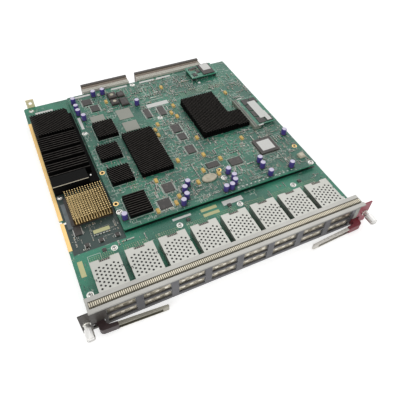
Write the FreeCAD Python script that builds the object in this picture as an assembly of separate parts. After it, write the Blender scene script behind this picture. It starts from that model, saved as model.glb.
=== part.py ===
"""Switch line card: a rack-mounted network card with sixteen module slots.

A main board runs back from a dark front panel.  Eight module cages stand on the
board and eight hang below it, belly to belly, and each slot has a sprung flap
door.  A wide daughter board sits over the rear of the main board on standoffs.

Millimetres.  X runs along the panel, Y from the panel to the backplane, Z up.
The origin is the middle of the line between the two captive screws, on the rear
face of the panel ears, where the card seats on its chassis.
"""
import FreeCAD, Part
import math
import os

V = FreeCAD.Vector

# ---------------------------------------------------------------- front panel
PANEL_WIDTH = 388.6
PANEL_HEIGHT = 38.0
PANEL_THICKNESS = 1.6
PANEL_TOP_DROP = 1.0          # the panel between the ears stops this far below the ears
EAR_WIDTH = 11.3
SCREW_FROM_END = 6.4          # captive screw axis to the end of the ear

# --------------------------------------------------------------------- boards
BOARD_FROM_PANEL_END = 11.3   # edge of the board to the end of the ear
BOARD_DEPTH = 399.5
BOARD_THICKNESS = 2.2
BOARD_BEHIND_PANEL = 2.0      # front edge of the board to the rear face of the panel
BOARD_DROP = 0.5              # middle of the board below the screw line
BOARD_CORNER = 4.0
DAUGHTER_THICKNESS = 2.0
DAUGHTER_LEFT = 70.4          # left edge of the main board to the daughter board
DAUGHTER_FRONT = 93.3         # front edge of the main board to the daughter board
DAUGHTER_RIGHT = 5.2          # right edge of the daughter board to that of the main board
DAUGHTER_SHORT_OF_REAR = 8.2  # the same at the rear
STACK_GAP = 5.4               # clear height between the two boards

# ------------------------------------------------------- module slots and cages
COLUMNS = 8
CAGE_FROM_PANEL_END = 29.5    # outer side of the last cage to the end of the ear
SLOT_WIDTH = 32.4             # inside a cage
SLOT_HEIGHT = 12.9            # window in the panel
SLOT_ABOVE_BOARD = 0.2        # board face to the near edge of the window
WINDOW_SIDE_GAP = 0.5         # window edge beyond the inside of the cage, each side
CAGE_WALL = 0.9
CAGE_HEIGHT = 14.8            # board face to the cover
CAGE_DEPTH = 60.3
CAGE_BEHIND_PANEL = 0.2
COVER_THICKNESS = 0.6
SKIRT_THICKNESS = 0.5
SKIRT_HEIGHT = 3.0
COVER_HOLE_RADIUS = 2.4
COVER_HOLE_ROWS = 3
COVER_HOLE_COLUMNS = 2
SIDE_NOTCH = (2.2, 3.4)       # width and length of the notch in each long edge
SIDE_NOTCH_PLACES = (33.0, 40.0)  # from the panel: left edge, right edge
REAR_NOTCH_WIDTH = 15.0
REAR_NOTCH_DEPTH = 4.0

# ------------------------------------------------------------------ slot doors
DOOR_THICKNESS = 0.6
DOOR_SIDE_GAP = 0.25
DOOR_BEHIND_PANEL = 0.3
DOOR_BOARD_GAP = 0.5          # free edge of the shut door to the board face
TRUNNION_RADIUS = 0.6
TRUNNION_SIDES = 6
TRUNNION_GAP = 0.1            # trunnion to the sides of its notch
TRUNNION_END_GAP = 0.15       # trunnion end to the skirt of the cover
TRUNNION_BELOW_COVER = 1.0    # door axis to the cover
DIMPLE_COUNT = 3
DIMPLE_WIDTH = 4.0
DIMPLE_HEIGHT = 3.0
DIMPLE_PROUD = 0.25

# -------------------------------------------------------------- module sockets
SOCKET_WIDTH = 26.0
SOCKET_DEPTH = 7.0
SOCKET_HEIGHT = 8.5
SOCKET_FROM_REAR = 1.5
SOCKET_TONGUE_HEIGHT = 2.4
SOCKET_TONGUE_DEPTH = 3.5
SOCKET_MOUTH_WIDTH = 20.0

# ------------------------------------------------------------- top lip, gasket
LIP_THICKNESS = 0.8
LIP_TURN_DOWN = 1.4
LIP_DEPTH = 2.4               # lip behind the rear face of the panel
FLANGE_DEPTH = 18.1
FLANGE_THICKNESS = 1.0
GASKET_FRONT_GAP = 0.5
GASKET_DEPTH = 9.0
GASKET_RISE = 2.5
GASKET_SHEET = 0.35
GASKET_FINGERS = 18
GASKET_SLIT = 1.6
GASKET_RAIL = 1.8
GASKET_END_GAP = 3.0

# --------------------------------------------------------------- carrier tray
TRAY_THICKNESS = 1.2
TRAY_INSET = 12.0             # tray edge inside the board edge
TRAY_BEHIND_PANEL = 0.0
TRAY_SHORT_OF_REAR = 3.0      # tray rear edge to the board rear edge
TRAY_LIP_HEIGHT = 7.0
TRAY_LIP_START = 70.0         # side lips start this far behind the panel
TRAY_TAB_SIDE_GAP = 0.5       # upright tabs to the cages on both sides
TRAY_TAB_HEIGHT = 9.0
TRAY_CORNER_CUT = (7.0, 10.0)  # front corners, clear of the lever brackets
TAB_WIDTH = 12.5
TAB_TOP = 14.5                # top of the rear guide tab above the board face
TAB_FROM_BOARD_EDGE = 6.5
TAB_HOLE_RADIUS = 2.6
TAB_BEHIND_BOARD = 0.8
POST_RADIUS = 2.6
POST_INSET = 22.0

# ------------------------------------------------------------- ejector levers
PIVOT_FROM_END = 18.3         # lever axis to the end of the ear
PIVOT_BEHIND = 4.2            # lever axis behind the seating face
PIVOT_RADIUS = 1.5
PIVOT_CLEARANCE = 0.05
PIVOT_SIDES = 12
LEVER_DROP = 10.4             # middle of the lever below the screw line
LEVER_HEIGHT = 9.4
LEVER_PLAY = 0.2              # lever to each bracket lug
LEVER_SWING = 35.0            # degrees, outwards
HUB_RADIUS = 4.4
LEG_WIDTH = 8.8
LEG_CENTRE = 3.0              # middle of the leg, inward of the lever axis
LEG_REACH = 13.6              # front of the arm's root, from the seating face
LEG_CORNER = 4.6
LEG_FILLET = 4.0
NOSE_REACH = 10.4             # prongs beyond the axis, towards the chassis wall
NOSE_BEHIND = 1.6             # front prong to the seating face
NOSE_THICKNESS = 2.0
NOSE_GAP = 1.8                # chassis rail between the two prongs
ARM_LENGTH = 76.0
ARM_OVERLAP = 2.0             # arm metal starts this far inside the leg
ARM_GRIP = 12.0               # length of the moulded socket round the arm's root
ARM_ROOT_DEPTH = 5.0
ARM_TIP_DEPTH = 3.6
ARM_SPLAY = 3.2               # tip of the arm stands this much further out
ARM_WALL = 1.0
ARM_HEIGHT = 7.4
ARM_RIB_HEIGHT = 0.5
ARM_RIBS = 8
ARM_PLAIN_TIP = 8.0           # arm without ribs at its tip
ARM_PLAIN_ROOT = 3.0
BRACKET_SHEET = 1.2
BRACKET_MARGIN = 2.2          # bracket beyond the slot, inward and upward
BRACKET_OUTER_MARGIN = 0.8    # bracket beyond the slot, outward
SLOT_GAP = 0.4                # lever to the sides of the slot in the panel

# ------------------------------------------------------------- captive screws
KNOB_RADIUS = 5.0
KNOB_LENGTH = 13.0
KNOB_FORWARD = 7.4            # rear end of the knob in front of the panel face
KNOB_SIDES = 12
KNOB_NOSE = 0.9               # step round the front end
KNOB_SLOT_WIDTH = 1.4
KNOB_SLOT_DEPTH = 1.6
KNOB_BORE_RADIUS = 3.9
KNOB_BORE_DEPTH = 6.0
THREAD_RADIUS = 2.0
THREAD_BEHIND = 0.1           # thread start and tip behind the panel, screw pushed out
THREAD_REACH = 6.0
WAIST_RADIUS = 1.75           # thinner shank in front of the thread
SHANK_SIDES = 12
SCREW_TRAVEL = 4.0
FERRULE_RADIUS = 4.5
FERRULE_THICKNESS = 1.4
SHANK_CLEARANCE = 0.15        # thread to the hole in the panel
NECK_RADIUS = 3.5             # tube of the ferrule in front of the panel
NECK_WALL = 0.6
NECK_LENGTH = 6.0
RING_RADIUS = 2.7
RING_THICKNESS = 0.7
RING_GAP = 0.1                # ring to the front wall of the neck and to its groove
GROOVE_DEPTH = 0.3
RING_BORE_GAP = 0.05
SPRING_WIRE = 0.45
SPRING_TURNS = 2
SPRING_END_GAP = 0.2          # spring to the bottom of the knob, screw pushed home

# -------------------------------------------------------- backplane connectors
CONNECTOR_LEFT_START = 99.0             # from the left board edge
CONNECTOR_LEFT_WIDTH = 80.0
CONNECTOR_BETWEEN = 15.6
CONNECTOR_RIGHT_WIDTH = 122.0
CONNECTOR_TOP = 13.6                    # above the board face
CONNECTOR_SEAT = 6.8                    # depth that lies on the board
CONNECTOR_OVERHANG = 11.0               # depth behind the board
CONNECTOR_BELOW = 5.0                   # body behind the board, below its upper face
CONNECTOR_STEP_HEIGHT = 2.6
CONNECTOR_STEP_DEPTH = 4.6
CONNECTOR_RIBS = 3

# -------------------------------------------------------------- board hardware
SCREW_HEAD_RADIUS = 3.0
SCREW_HEAD_HEIGHT = 1.7
SCREW_SHANK_RADIUS = 1.4
SCREW_SIDES = 6
STRIP_WIDTH = 4.6
STRIP_THICKNESS = 0.3
STRIP_REAR_START = 41.9       # strip end to the rear edge of the board
STRIP_FRONT_START = 94.0      # strip start from the front edge of the board
STRIP_BREAK = (140.0, 145.0)  # break in the strip, from the front edge of the board
EDGE_NOTCH_DEPTH = 2.6
RELIEF_HOLE = (4.6, 10.8, 137.4, 142.2)

# ------------------------------------------------------- heat sinks and parts
# Footprints are (left, front, width, depth) from a board's front left corner.  Those on
# the daughter board are laid out up to the margins below and spread with the board.
LAYOUT_MARGIN_RIGHT = 4.1     # memory card to the right edge
LAYOUT_MARGIN_REAR = 5.5      # plug-in board to the rear edge
PIN_PITCH = 16.5
PIN_GAP = 3.4
REGULATOR_SINK = (5.2, 190.0, 167.0)    # left, front, depth
REGULATOR_GAP = 2.6           # its base to the daughter board
REGULATOR_HEIGHT = 15.6
REGULATOR_BASE = 3.4
REGULATOR_LEDGE = 5.6         # base beyond the fins on the right
REGULATOR_SHELF = 22.0        # plain shelf at the front
REGULATOR_STEP = 8.0          # low step along the right side of the shelf
REGULATOR_STEP_GAP = 4.0      # end of the step to the first groove
REGULATOR_BREAK = (107.0, 114.0)
GOLD_SINK = (16.6, 128.0, 51.0)
GOLD_SINK_GAP = 3.8
GOLD_SINK_HEIGHT = 13.2
GOLD_SINK_BASE = 2.2
GOLD_CHIP_MARGIN = 4.0
GOLD_CHIP_HEIGHT = 2.4
GOLD_PITCH = 12.4
SINK_BASE = 1.8
SMALL_SINKS = [(18.4, 173.4, 31.6, 37.4, 7.0), (8.7, 125.1, 32.0, 31.5, 7.0),
               (9.5, 74.8, 31.6, 31.5, 7.0)]
EDGE_SINK = (13.5, 12.8, 30.6, 35.5, 7.0)
LONG_SINK = (51.7, 73.9, 47.3, 93.4, 8.0)
LARGE_SINK = (165.3, 114.1, 56.8, 92.8, 11.0)
ARM_SINK = (222.4, 114.4, 21.6, 36.4, 8.0)
EDGE_SINK_FINS = 7

# Flat parts on the daughter board: (left, front, width, depth, height).
DAUGHTER_CHIPS = [(19.4, 264.8, 15.0, 15.0, 1.5), (28.4, 243.8, 13.0, 16.0, 1.5),
                  (128.4, 144.1, 14.0, 18.0, 1.5), (130.4, 125.1, 12.0, 14.0, 1.5),
                  (129.4, 92.2, 13.0, 17.0, 1.5), (103.4, 194.0, 9.0, 23.0, 1.5),
                  (126.4, 192.1, 10.0, 23.0, 1.5), (69.4, 35.2, 15.0, 16.0, 1.5),
                  (53.4, 10.2, 17.0, 16.0, 1.5), (175.4, 44.3, 19.0, 14.0, 1.5),
                  (142.4, 53.2, 18.0, 10.0, 1.5), (226.6, 47.0, 31.0, 31.0, 2.6)]
POWER_BLOCKS = [(62.4, 264.9, 14.0, 15.0, 4.4), (62.4, 247.1, 13.0, 13.0, 4.4),
                (77.9, 264.9, 12.0, 13.0, 3.6), (77.0, 240.0, 13.0, 20.0, 3.6),
                (124.8, 29.0, 22.0, 14.0, 3.2)]
THERMAL_PADS = [(20.4, 212.3, 22.0, 20.6, 0.8), (62.4, 207.0, 23.0, 26.0, 0.8),
                (62.4, 176.0, 23.0, 23.0, 0.8)]
CAN_RADIUS = 3.7
CAN_HEIGHT = 10.6
CAN_SIDES = 8
CAN_PLACES = [(6.9, 259.5), (6.9, 246.8), (11.8, 231.0), (42.1, 286.0), (57.7, 286.0), (6.9, 278.8),
              (100.7, 235.1), (7.0, 16.4), (102.7, 36.4), (94.9, 28.1), (92.6, 15.8),
              (84.6, 7.6), (146.7, 6.7), (155.4, 6.7), (163.4, 12.9), (166.3, 21.6),
              (164.3, 35.0), (216.2, 37.0), (214.2, 25.3), (217.2, 7.7), (253.4, 9.7),
              (281.8, 75.1)]
TANTALUM_SIZE = (4.3, 7.0, 2.8)
TANTALUM_PLACES = [(56.2, 261.2), (104.2, 161.5), (104.2, 148.5), (112.2, 172.5), (143.2, 191.5),
                   (148.2, 179.5), (153.2, 207.5), (155.2, 119.6), (109.2, 85.7),
                   (148.2, 81.7), (134.2, 52.8), (151.5, 38.5), (66.2, 60.7), (76.2, 12.8),
                   (84.2, 21.8), (49.3, 9.8), (118.2, 34.8), (167.2, 64.8), (217.2, 91.8),
                   (248.2, 205.6), (154.2, 263.3)]
DAUGHTER_SCREWS = [(3.5, 198.1), (3.5, 29.6), (122.8, 188.3), (154.9, 29.1), (283.9, 5.4),
                   (111.8, 291.4)]
MEMORY_CARD = (247.9, 102.7, 38.4, 72.0)
MEMORY_CARD_LIFT = 4.4
MEMORY_CARD_THICKNESS = 1.0
MEMORY_SOCKET_WIDTH = 5.6
MEMORY_CHIPS = 4
OPTION_BOARD = (211.3, 258.5, 49.0, 34.0)
OPTION_BOARD_LIFT = 5.6
OPTION_BOARD_THICKNESS = 1.6
HEADER_WIDTH = 5.0
HEADER_INSET = 2.0            # pin headers inside the edges of the plug-in board
OPTION_CHIP = (25.0, 3.0, 18.4, 29.0, 1.8)
LINK_CONNECTORS = [(30.0, 60.0, 6.0, 52.0), (118.0, 60.0, 6.0, 52.0), (262.0, 60.0, 6.0, 52.0)]
MAIN_CHIPS = [(13.0, 113.0, 9.4, 14.6, 1.6), (20.4, 91.0, 5.0, 5.6, 2.2), (38.4, 92.0, 5.0, 5.6, 2.2),
              (59.0, 92.0, 5.0, 5.6, 2.2), (37.4, 77.0, 5.0, 4.4, 1.6),
              (149.4, 78.0, 5.0, 4.4, 1.6), (209.4, 78.0, 5.0, 4.4, 1.6), (320.4, 77.0, 5.0, 4.4, 1.6)]
# Screws in the main board; a negative place is from the right or rear edge.
MAIN_SCREWS = [(51.9, 77.6), (138.5, 76.6), (226.3, 76.6), (311.2, 76.6), (8.0, 27.6), (-8.0, 27.6),
               (10.0, 185.0), (10.8, -9.5), (-10.8, -9.5)]

# ------------------------------------------------------------- derived levels
FOOT = -PANEL_HEIGHT / 2
PANEL_FACE = -PANEL_THICKNESS
BOARD_MIDDLE = -BOARD_DROP
BOARD_TOP = BOARD_MIDDLE + BOARD_THICKNESS / 2
BOARD_UNDER = BOARD_TOP - BOARD_THICKNESS
BOARD_WIDTH = PANEL_WIDTH - 2 * BOARD_FROM_PANEL_END
BOARD_LEFT = -BOARD_WIDTH / 2
BOARD_FRONT = BOARD_BEHIND_PANEL
BOARD_REAR = BOARD_FRONT + BOARD_DEPTH
DAUGHTER_X = BOARD_LEFT + DAUGHTER_LEFT
DAUGHTER_Y = BOARD_FRONT + DAUGHTER_FRONT
DAUGHTER_WIDTH = BOARD_WIDTH - DAUGHTER_LEFT - DAUGHTER_RIGHT
DAUGHTER_DEPTH = BOARD_DEPTH - DAUGHTER_FRONT - DAUGHTER_SHORT_OF_REAR
SPREAD_X = DAUGHTER_WIDTH / (MEMORY_CARD[0] + MEMORY_CARD[2] + LAYOUT_MARGIN_RIGHT)
SPREAD_Y = DAUGHTER_DEPTH / (OPTION_BOARD[1] + OPTION_BOARD[3] + LAYOUT_MARGIN_REAR)
DAUGHTER_UNDER = BOARD_TOP + STACK_GAP
DAUGHTER_TOP = DAUGHTER_UNDER + DAUGHTER_THICKNESS
FRAME_WIDTH = SLOT_WIDTH + 2 * CAGE_WALL
COLUMN_PITCH = (PANEL_WIDTH - 2 * CAGE_FROM_PANEL_END - FRAME_WIDTH) / (COLUMNS - 1)
COLUMN_CENTRES = [(i - (COLUMNS - 1) / 2) * COLUMN_PITCH for i in range(COLUMNS)]
TRAY_TAB_WIDTH = COLUMN_PITCH - FRAME_WIDTH - 2 * (SKIRT_THICKNESS + TRAY_TAB_SIDE_GAP)
COVER_UNDER = BOARD_TOP + CAGE_HEIGHT
COVER_TOP = COVER_UNDER + COVER_THICKNESS
CAGE_REAR = CAGE_BEHIND_PANEL + CAGE_DEPTH
WINDOW_BOTTOM = BOARD_TOP + SLOT_ABOVE_BOARD
WINDOW_TOP = WINDOW_BOTTOM + SLOT_HEIGHT
DOOR_FACE = DOOR_BEHIND_PANEL
DOOR_AXIS_Y = DOOR_FACE + TRUNNION_RADIUS
DOOR_AXIS_Z = COVER_UNDER - TRUNNION_BELOW_COVER
SCREW_X = PANEL_WIDTH / 2 - SCREW_FROM_END
PIVOT_X = PANEL_WIDTH / 2 - PIVOT_FROM_END
LEVER_UNDER = -LEVER_DROP - LEVER_HEIGHT / 2
LEVER_TOP = LEVER_UNDER + LEVER_HEIGHT
LEG_IN = PIVOT_X - LEG_CENTRE - LEG_WIDTH / 2
LEG_OUT = LEG_IN + LEG_WIDTH
SWING = math.radians(LEVER_SWING)
SLOT_IN = LEG_IN - SLOT_GAP
SLOT_OUT = (PIVOT_X + (LEG_OUT - PIVOT_X) / math.cos(SWING)
            + (PIVOT_BEHIND + PANEL_THICKNESS) * math.tan(SWING) + SLOT_GAP)
SLOT_BOTTOM = LEVER_UNDER - LEVER_PLAY
SLOT_TOP = LEVER_TOP + LEVER_PLAY
PANEL_TOP = -FOOT - PANEL_TOP_DROP
CONNECTOR_RIGHT_START = CONNECTOR_LEFT_START + CONNECTOR_LEFT_WIDTH + CONNECTOR_BETWEEN


# -------------------------------------------------------------- shape helpers
def box(x0, x1, y0, y1, z0, z1):
    """Block between two corners."""
    return Part.makeBox(x1 - x0, y1 - y0, z1 - z0, V(x0, y0, z0))


def block(place, z0, corner=(0.0, 0.0)):
    """Block on a board from (left, front, width, depth, height)."""
    left, front, width, depth, height = place
    x0 = corner[0] + left
    y0 = corner[1] + front
    return box(x0, x0 + width, y0, y0 + depth, z0, z0 + height)


def spread(place):
    """Footprint on the daughter board, moved and sized with the board."""
    left, front, width, depth = place[:4]
    return (left * SPREAD_X, front * SPREAD_Y, width * SPREAD_X, depth * SPREAD_Y) + place[4:]


def daughter_spot(place):
    """Point on the daughter board from its front left corner, moved with the board."""
    return DAUGHTER_X + place[0] * SPREAD_X, DAUGHTER_Y + place[1] * SPREAD_Y


def main_spot(place):
    """Point on the main board; a negative value is from the right or rear edge."""
    x = place[0] if place[0] > 0 else BOARD_WIDTH + place[0]
    y = place[1] if place[1] > 0 else BOARD_DEPTH + place[1]
    return BOARD_LEFT + x, BOARD_FRONT + y


def rod(radius, length, start, direction):
    """Round bar from a start point along a direction."""
    return Part.makeCylinder(radius, length, V(*start), V(*direction))


def prism(sides, radius, length, start, direction):
    """Bar with a regular section, its corners on the radius."""
    axis = V(*direction)
    first = V(0, 0, radius) if abs(axis.x) > 0.5 else V(radius, 0, 0)
    ring = [V(*start) + FreeCAD.Rotation(axis, (i + 0.5) * 360 / sides).multVec(first)
            for i in range(sides)]
    return Part.Face(Part.makePolygon(ring + ring[:1])).extrude(axis * length)


def slab(points, z0, z1):
    """Upright prism over an outline in the XY plane."""
    wire = Part.makePolygon([V(x, y, z0) for x, y in points + points[:1]])
    return Part.Face(wire).extrude(V(0, 0, z1 - z0))


def extrusion_x(points, x0, x1):
    """Bar along X over a section of (y, z) points."""
    wire = Part.makePolygon([V(x0, y, z) for y, z in points + points[:1]])
    return Part.Face(wire).extrude(V(x1 - x0, 0, 0))


def join(shapes):
    """Fuse shapes into one and clean the seams."""
    return shapes[0].fuse(shapes[1:]).removeSplitter()


def mirrored_x(shape):
    """Left-hand piece from the right-hand one, or the other way round."""
    return shape.mirror(V(0, 0, 0), V(1, 0, 0))


def below_board(shape):
    """The same piece on the underside of the main board."""
    return shape.mirror(V(0, 0, BOARD_MIDDLE), V(0, 0, 1))


def rounded_plate(x0, x1, y0, y1, z0, z1, radius):
    """Flat plate with four rounded corners."""
    plate = box(x0, x1, y0, y1, z0, z1)
    upright = [e for e in plate.Edges if abs(e.Vertexes[0].Z - e.Vertexes[-1].Z) > (z1 - z0) / 2]
    return plate.makeFillet(radius, upright)


# ------------------------------------------------------------------ the panel
def front_panel():
    """Dark panel: sixteen slot windows, ears with screw holes, slots for the levers."""
    half = PANEL_WIDTH / 2
    inner = half - EAR_WIDTH
    outline = [(-half, FOOT), (half, FOOT), (half, -FOOT), (inner, -FOOT), (inner, PANEL_TOP),
               (-inner, PANEL_TOP), (-inner, -FOOT), (-half, -FOOT)]
    wire = Part.makePolygon([V(x, PANEL_FACE, z) for x, z in outline + outline[:1]])
    panel = Part.Face(wire).extrude(V(0, PANEL_THICKNESS, 0))
    cuts = []
    half_window = SLOT_WIDTH / 2 + WINDOW_SIDE_GAP
    for x in COLUMN_CENTRES:
        window = box(x - half_window, x + half_window, PANEL_FACE - 1, 1, WINDOW_BOTTOM, WINDOW_TOP)
        cuts += [window, below_board(window)]
    slot = box(SLOT_IN, SLOT_OUT, PANEL_FACE - 1, 1, SLOT_BOTTOM, SLOT_TOP)
    cuts += [slot, mirrored_x(slot)]
    for side in (-1, 1):
        cuts.append(rod(THREAD_RADIUS + SHANK_CLEARANCE, PANEL_THICKNESS + 2,
                        (side * SCREW_X, PANEL_FACE - 1, 0), (0, 1, 0)))
    return panel.cut(cuts)


def top_lip():
    """Bright folded sheet over the panel's top edge, with the flange that holds the gasket."""
    front = PANEL_FACE - LIP_THICKNESS
    top = -FOOT
    flange_top = COVER_TOP + FLANGE_THICKNESS
    section = [(front, PANEL_TOP - LIP_TURN_DOWN), (front, top), (LIP_DEPTH, top),
               (LIP_DEPTH, flange_top), (FLANGE_DEPTH, flange_top), (FLANGE_DEPTH, COVER_TOP),
               (LIP_DEPTH - FLANGE_THICKNESS, COVER_TOP), (LIP_DEPTH - FLANGE_THICKNESS, PANEL_TOP),
               (PANEL_FACE, PANEL_TOP), (PANEL_FACE, PANEL_TOP - LIP_TURN_DOWN)]
    half = PANEL_WIDTH / 2 - EAR_WIDTH
    return extrusion_x(section, -half, half)


def emi_gasket():
    """Sprung contact strip on the flange: a rear rail and a row of arched fingers."""
    y0 = LIP_DEPTH + GASKET_FRONT_GAP
    seat = COVER_TOP + FLANGE_THICKNESS
    top = seat + GASKET_RISE
    third = GASKET_DEPTH / 3
    t = GASKET_SHEET
    outer = [(y0, seat), (y0 + third, top), (y0 + 2 * third, top), (y0 + GASKET_DEPTH, seat)]
    inner = [(y0 + GASKET_DEPTH - 2 * t, seat), (y0 + 2 * third - t / 2, top - t),
             (y0 + third + t / 2, top - t), (y0 + 2 * t, seat)]
    half = PANEL_WIDTH / 2 - EAR_WIDTH - GASKET_END_GAP
    strip = extrusion_x(outer + inner, -half, half)
    pitch = 2 * half / GASKET_FINGERS
    slits = []
    for i in range(1, GASKET_FINGERS):
        x = -half + i * pitch
        slits.append(box(x - GASKET_SLIT / 2, x + GASKET_SLIT / 2, y0 - 1,
                         y0 + GASKET_DEPTH - GASKET_RAIL, seat - 1, top + 1))
    return strip.cut(slits)


# ------------------------------------------------------------------ the boards
def main_board():
    """Main board with rounded corners, screw holes and the notch in its left edge."""
    board = rounded_plate(BOARD_LEFT, -BOARD_LEFT, BOARD_FRONT, BOARD_REAR, BOARD_UNDER, BOARD_TOP,
                          BOARD_CORNER)
    y0 = BOARD_FRONT + STRIP_BREAK[0]
    y1 = BOARD_FRONT + STRIP_BREAK[1]
    left, right, front, rear = RELIEF_HOLE
    cuts = [box(BOARD_LEFT - 1, BOARD_LEFT + EDGE_NOTCH_DEPTH, y0, y1, BOARD_UNDER - 1, BOARD_TOP + 1),
            box(BOARD_LEFT + left, BOARD_LEFT + right, BOARD_FRONT + front, BOARD_FRONT + rear,
                BOARD_UNDER - 1, BOARD_TOP + 1)]
    for x, y in map(main_spot, MAIN_SCREWS):
        cuts.append(prism(SCREW_SIDES, SCREW_SHANK_RADIUS, BOARD_THICKNESS + 2,
                          (x, y, BOARD_UNDER - 1), (0, 0, 1)))
    return board.cut(cuts)


def daughter_board():
    """Raised board over the rear of the main board."""
    board = rounded_plate(DAUGHTER_X, DAUGHTER_X + DAUGHTER_WIDTH, DAUGHTER_Y,
                          DAUGHTER_Y + DAUGHTER_DEPTH, DAUGHTER_UNDER, DAUGHTER_TOP, BOARD_CORNER / 2)
    holes = [prism(SCREW_SIDES, SCREW_SHANK_RADIUS, DAUGHTER_THICKNESS + 2,
                   (x, y, DAUGHTER_UNDER - 1), (0, 0, 1))
             for x, y in map(daughter_spot, DAUGHTER_SCREWS)]
    return board.cut(holes)


def edge_strips():
    """Two gold contact strips clipped over the left edge of the board."""
    spans = [(BOARD_FRONT + STRIP_FRONT_START, BOARD_FRONT + STRIP_BREAK[0]),
             (BOARD_FRONT + STRIP_BREAK[1], BOARD_REAR - STRIP_REAR_START)]
    strips = []
    for y0, y1 in spans:
        outer = box(BOARD_LEFT - STRIP_THICKNESS, BOARD_LEFT + STRIP_WIDTH, y0, y1,
                    BOARD_UNDER - STRIP_THICKNESS, BOARD_TOP + STRIP_THICKNESS)
        inner = box(BOARD_LEFT, BOARD_LEFT + STRIP_WIDTH + 1, y0 - 1, y1 + 1, BOARD_UNDER, BOARD_TOP)
        strips.append(outer.cut(inner))
    return Part.makeCompound(strips)


def carrier_tray():
    """Folded sheet tray under the board, with side and rear lips and tabs between the cages."""
    half = BOARD_WIDTH / 2 - TRAY_INSET
    front = TRAY_BEHIND_PANEL
    rear = BOARD_REAR - TRAY_SHORT_OF_REAR
    floor_top = FOOT + TRAY_THICKNESS
    t = TRAY_THICKNESS
    cut_x, cut_y = TRAY_CORNER_CUT
    floor = slab([(-half + cut_x, front), (half - cut_x, front), (half - cut_x, front + cut_y),
                  (half, front + cut_y), (half, rear), (-half, rear), (-half, front + cut_y),
                  (-half + cut_x, front + cut_y)], FOOT, floor_top)
    lip_start = front + TRAY_LIP_START
    lips = [box(-half, -half + t, lip_start, rear, FOOT, FOOT + TRAY_LIP_HEIGHT),
            box(half - t, half, lip_start, rear, FOOT, FOOT + TRAY_LIP_HEIGHT),
            box(-half, half, rear - t, rear, FOOT, FOOT + TRAY_LIP_HEIGHT)]
    for x in COLUMN_CENTRES[1:]:
        gap_x = x - COLUMN_PITCH / 2
        lips.append(box(gap_x - TRAY_TAB_WIDTH / 2, gap_x + TRAY_TAB_WIDTH / 2, front, front + t, FOOT,
                        FOOT + TRAY_TAB_HEIGHT))
    return join([floor] + lips)


def guide_tab():
    """Upright tab at the rear left corner, folded from a foot on the tray floor."""
    t = TRAY_THICKNESS
    x0 = BOARD_LEFT + TAB_FROM_BOARD_EDGE
    x1 = x0 + TAB_WIDTH
    y0 = BOARD_REAR + TAB_BEHIND_BOARD
    foot_x0 = -BOARD_WIDTH / 2 + TRAY_INSET + t
    tray_rear = BOARD_REAR - TRAY_SHORT_OF_REAR
    foot_z = FOOT + TRAY_LIP_HEIGHT
    pieces = [box(foot_x0, x1, tray_rear, y0 + t, FOOT, foot_z),
              box(x0, x1, y0, y0 + t, FOOT, BOARD_TOP + TAB_TOP)]
    hole = prism(12, TAB_HOLE_RADIUS, 3 * t, ((x0 + x1) / 2, y0 - t, BOARD_TOP + TAB_TOP / 2), (0, 1, 0))
    inside = box(foot_x0 - 1, x1 + 1, tray_rear + t, y0, FOOT + t, foot_z + 1)
    return join(pieces).cut([hole, inside])


def tray_posts():
    """Pressed-in spacers between the tray floor and the board."""
    half = BOARD_WIDTH / 2 - TRAY_INSET
    posts = []
    for x in (-half + POST_INSET, 0, half - POST_INSET):
        for share in (0.22, 0.55, 0.95):
            y = BOARD_FRONT + BOARD_DEPTH * share
            base = FOOT + TRAY_THICKNESS
            posts.append(prism(6, POST_RADIUS, BOARD_UNDER - base, (x, y, base), (0, 0, 1)))
    return Part.makeCompound(posts)


# ------------------------------------------------------------- cages and doors
def cage_frame(x):
    """Side and rear walls of one cage, with open notches for the door's trunnions."""
    y0 = CAGE_BEHIND_PANEL
    half = FRAME_WIDTH / 2
    z0 = BOARD_TOP
    shell = box(x - half, x + half, y0, CAGE_REAR, z0, COVER_UNDER)
    hollow = box(x - half + CAGE_WALL, x + half - CAGE_WALL, y0 - 1, CAGE_REAR - CAGE_WALL,
                 z0 - 1, COVER_UNDER + 1)
    reach = TRUNNION_RADIUS + TRUNNION_GAP
    notch = box(x - half - 1, x + half + 1, y0 - 1, DOOR_AXIS_Y + reach, DOOR_AXIS_Z - reach,
                COVER_UNDER + 1)
    air = box(x - REAR_NOTCH_WIDTH / 2, x + REAR_NOTCH_WIDTH / 2, CAGE_REAR - 2 * CAGE_WALL,
              CAGE_REAR + 1, z0 + SOCKET_HEIGHT, COVER_UNDER + 1)
    return shell.cut([hollow, notch, air])


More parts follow.
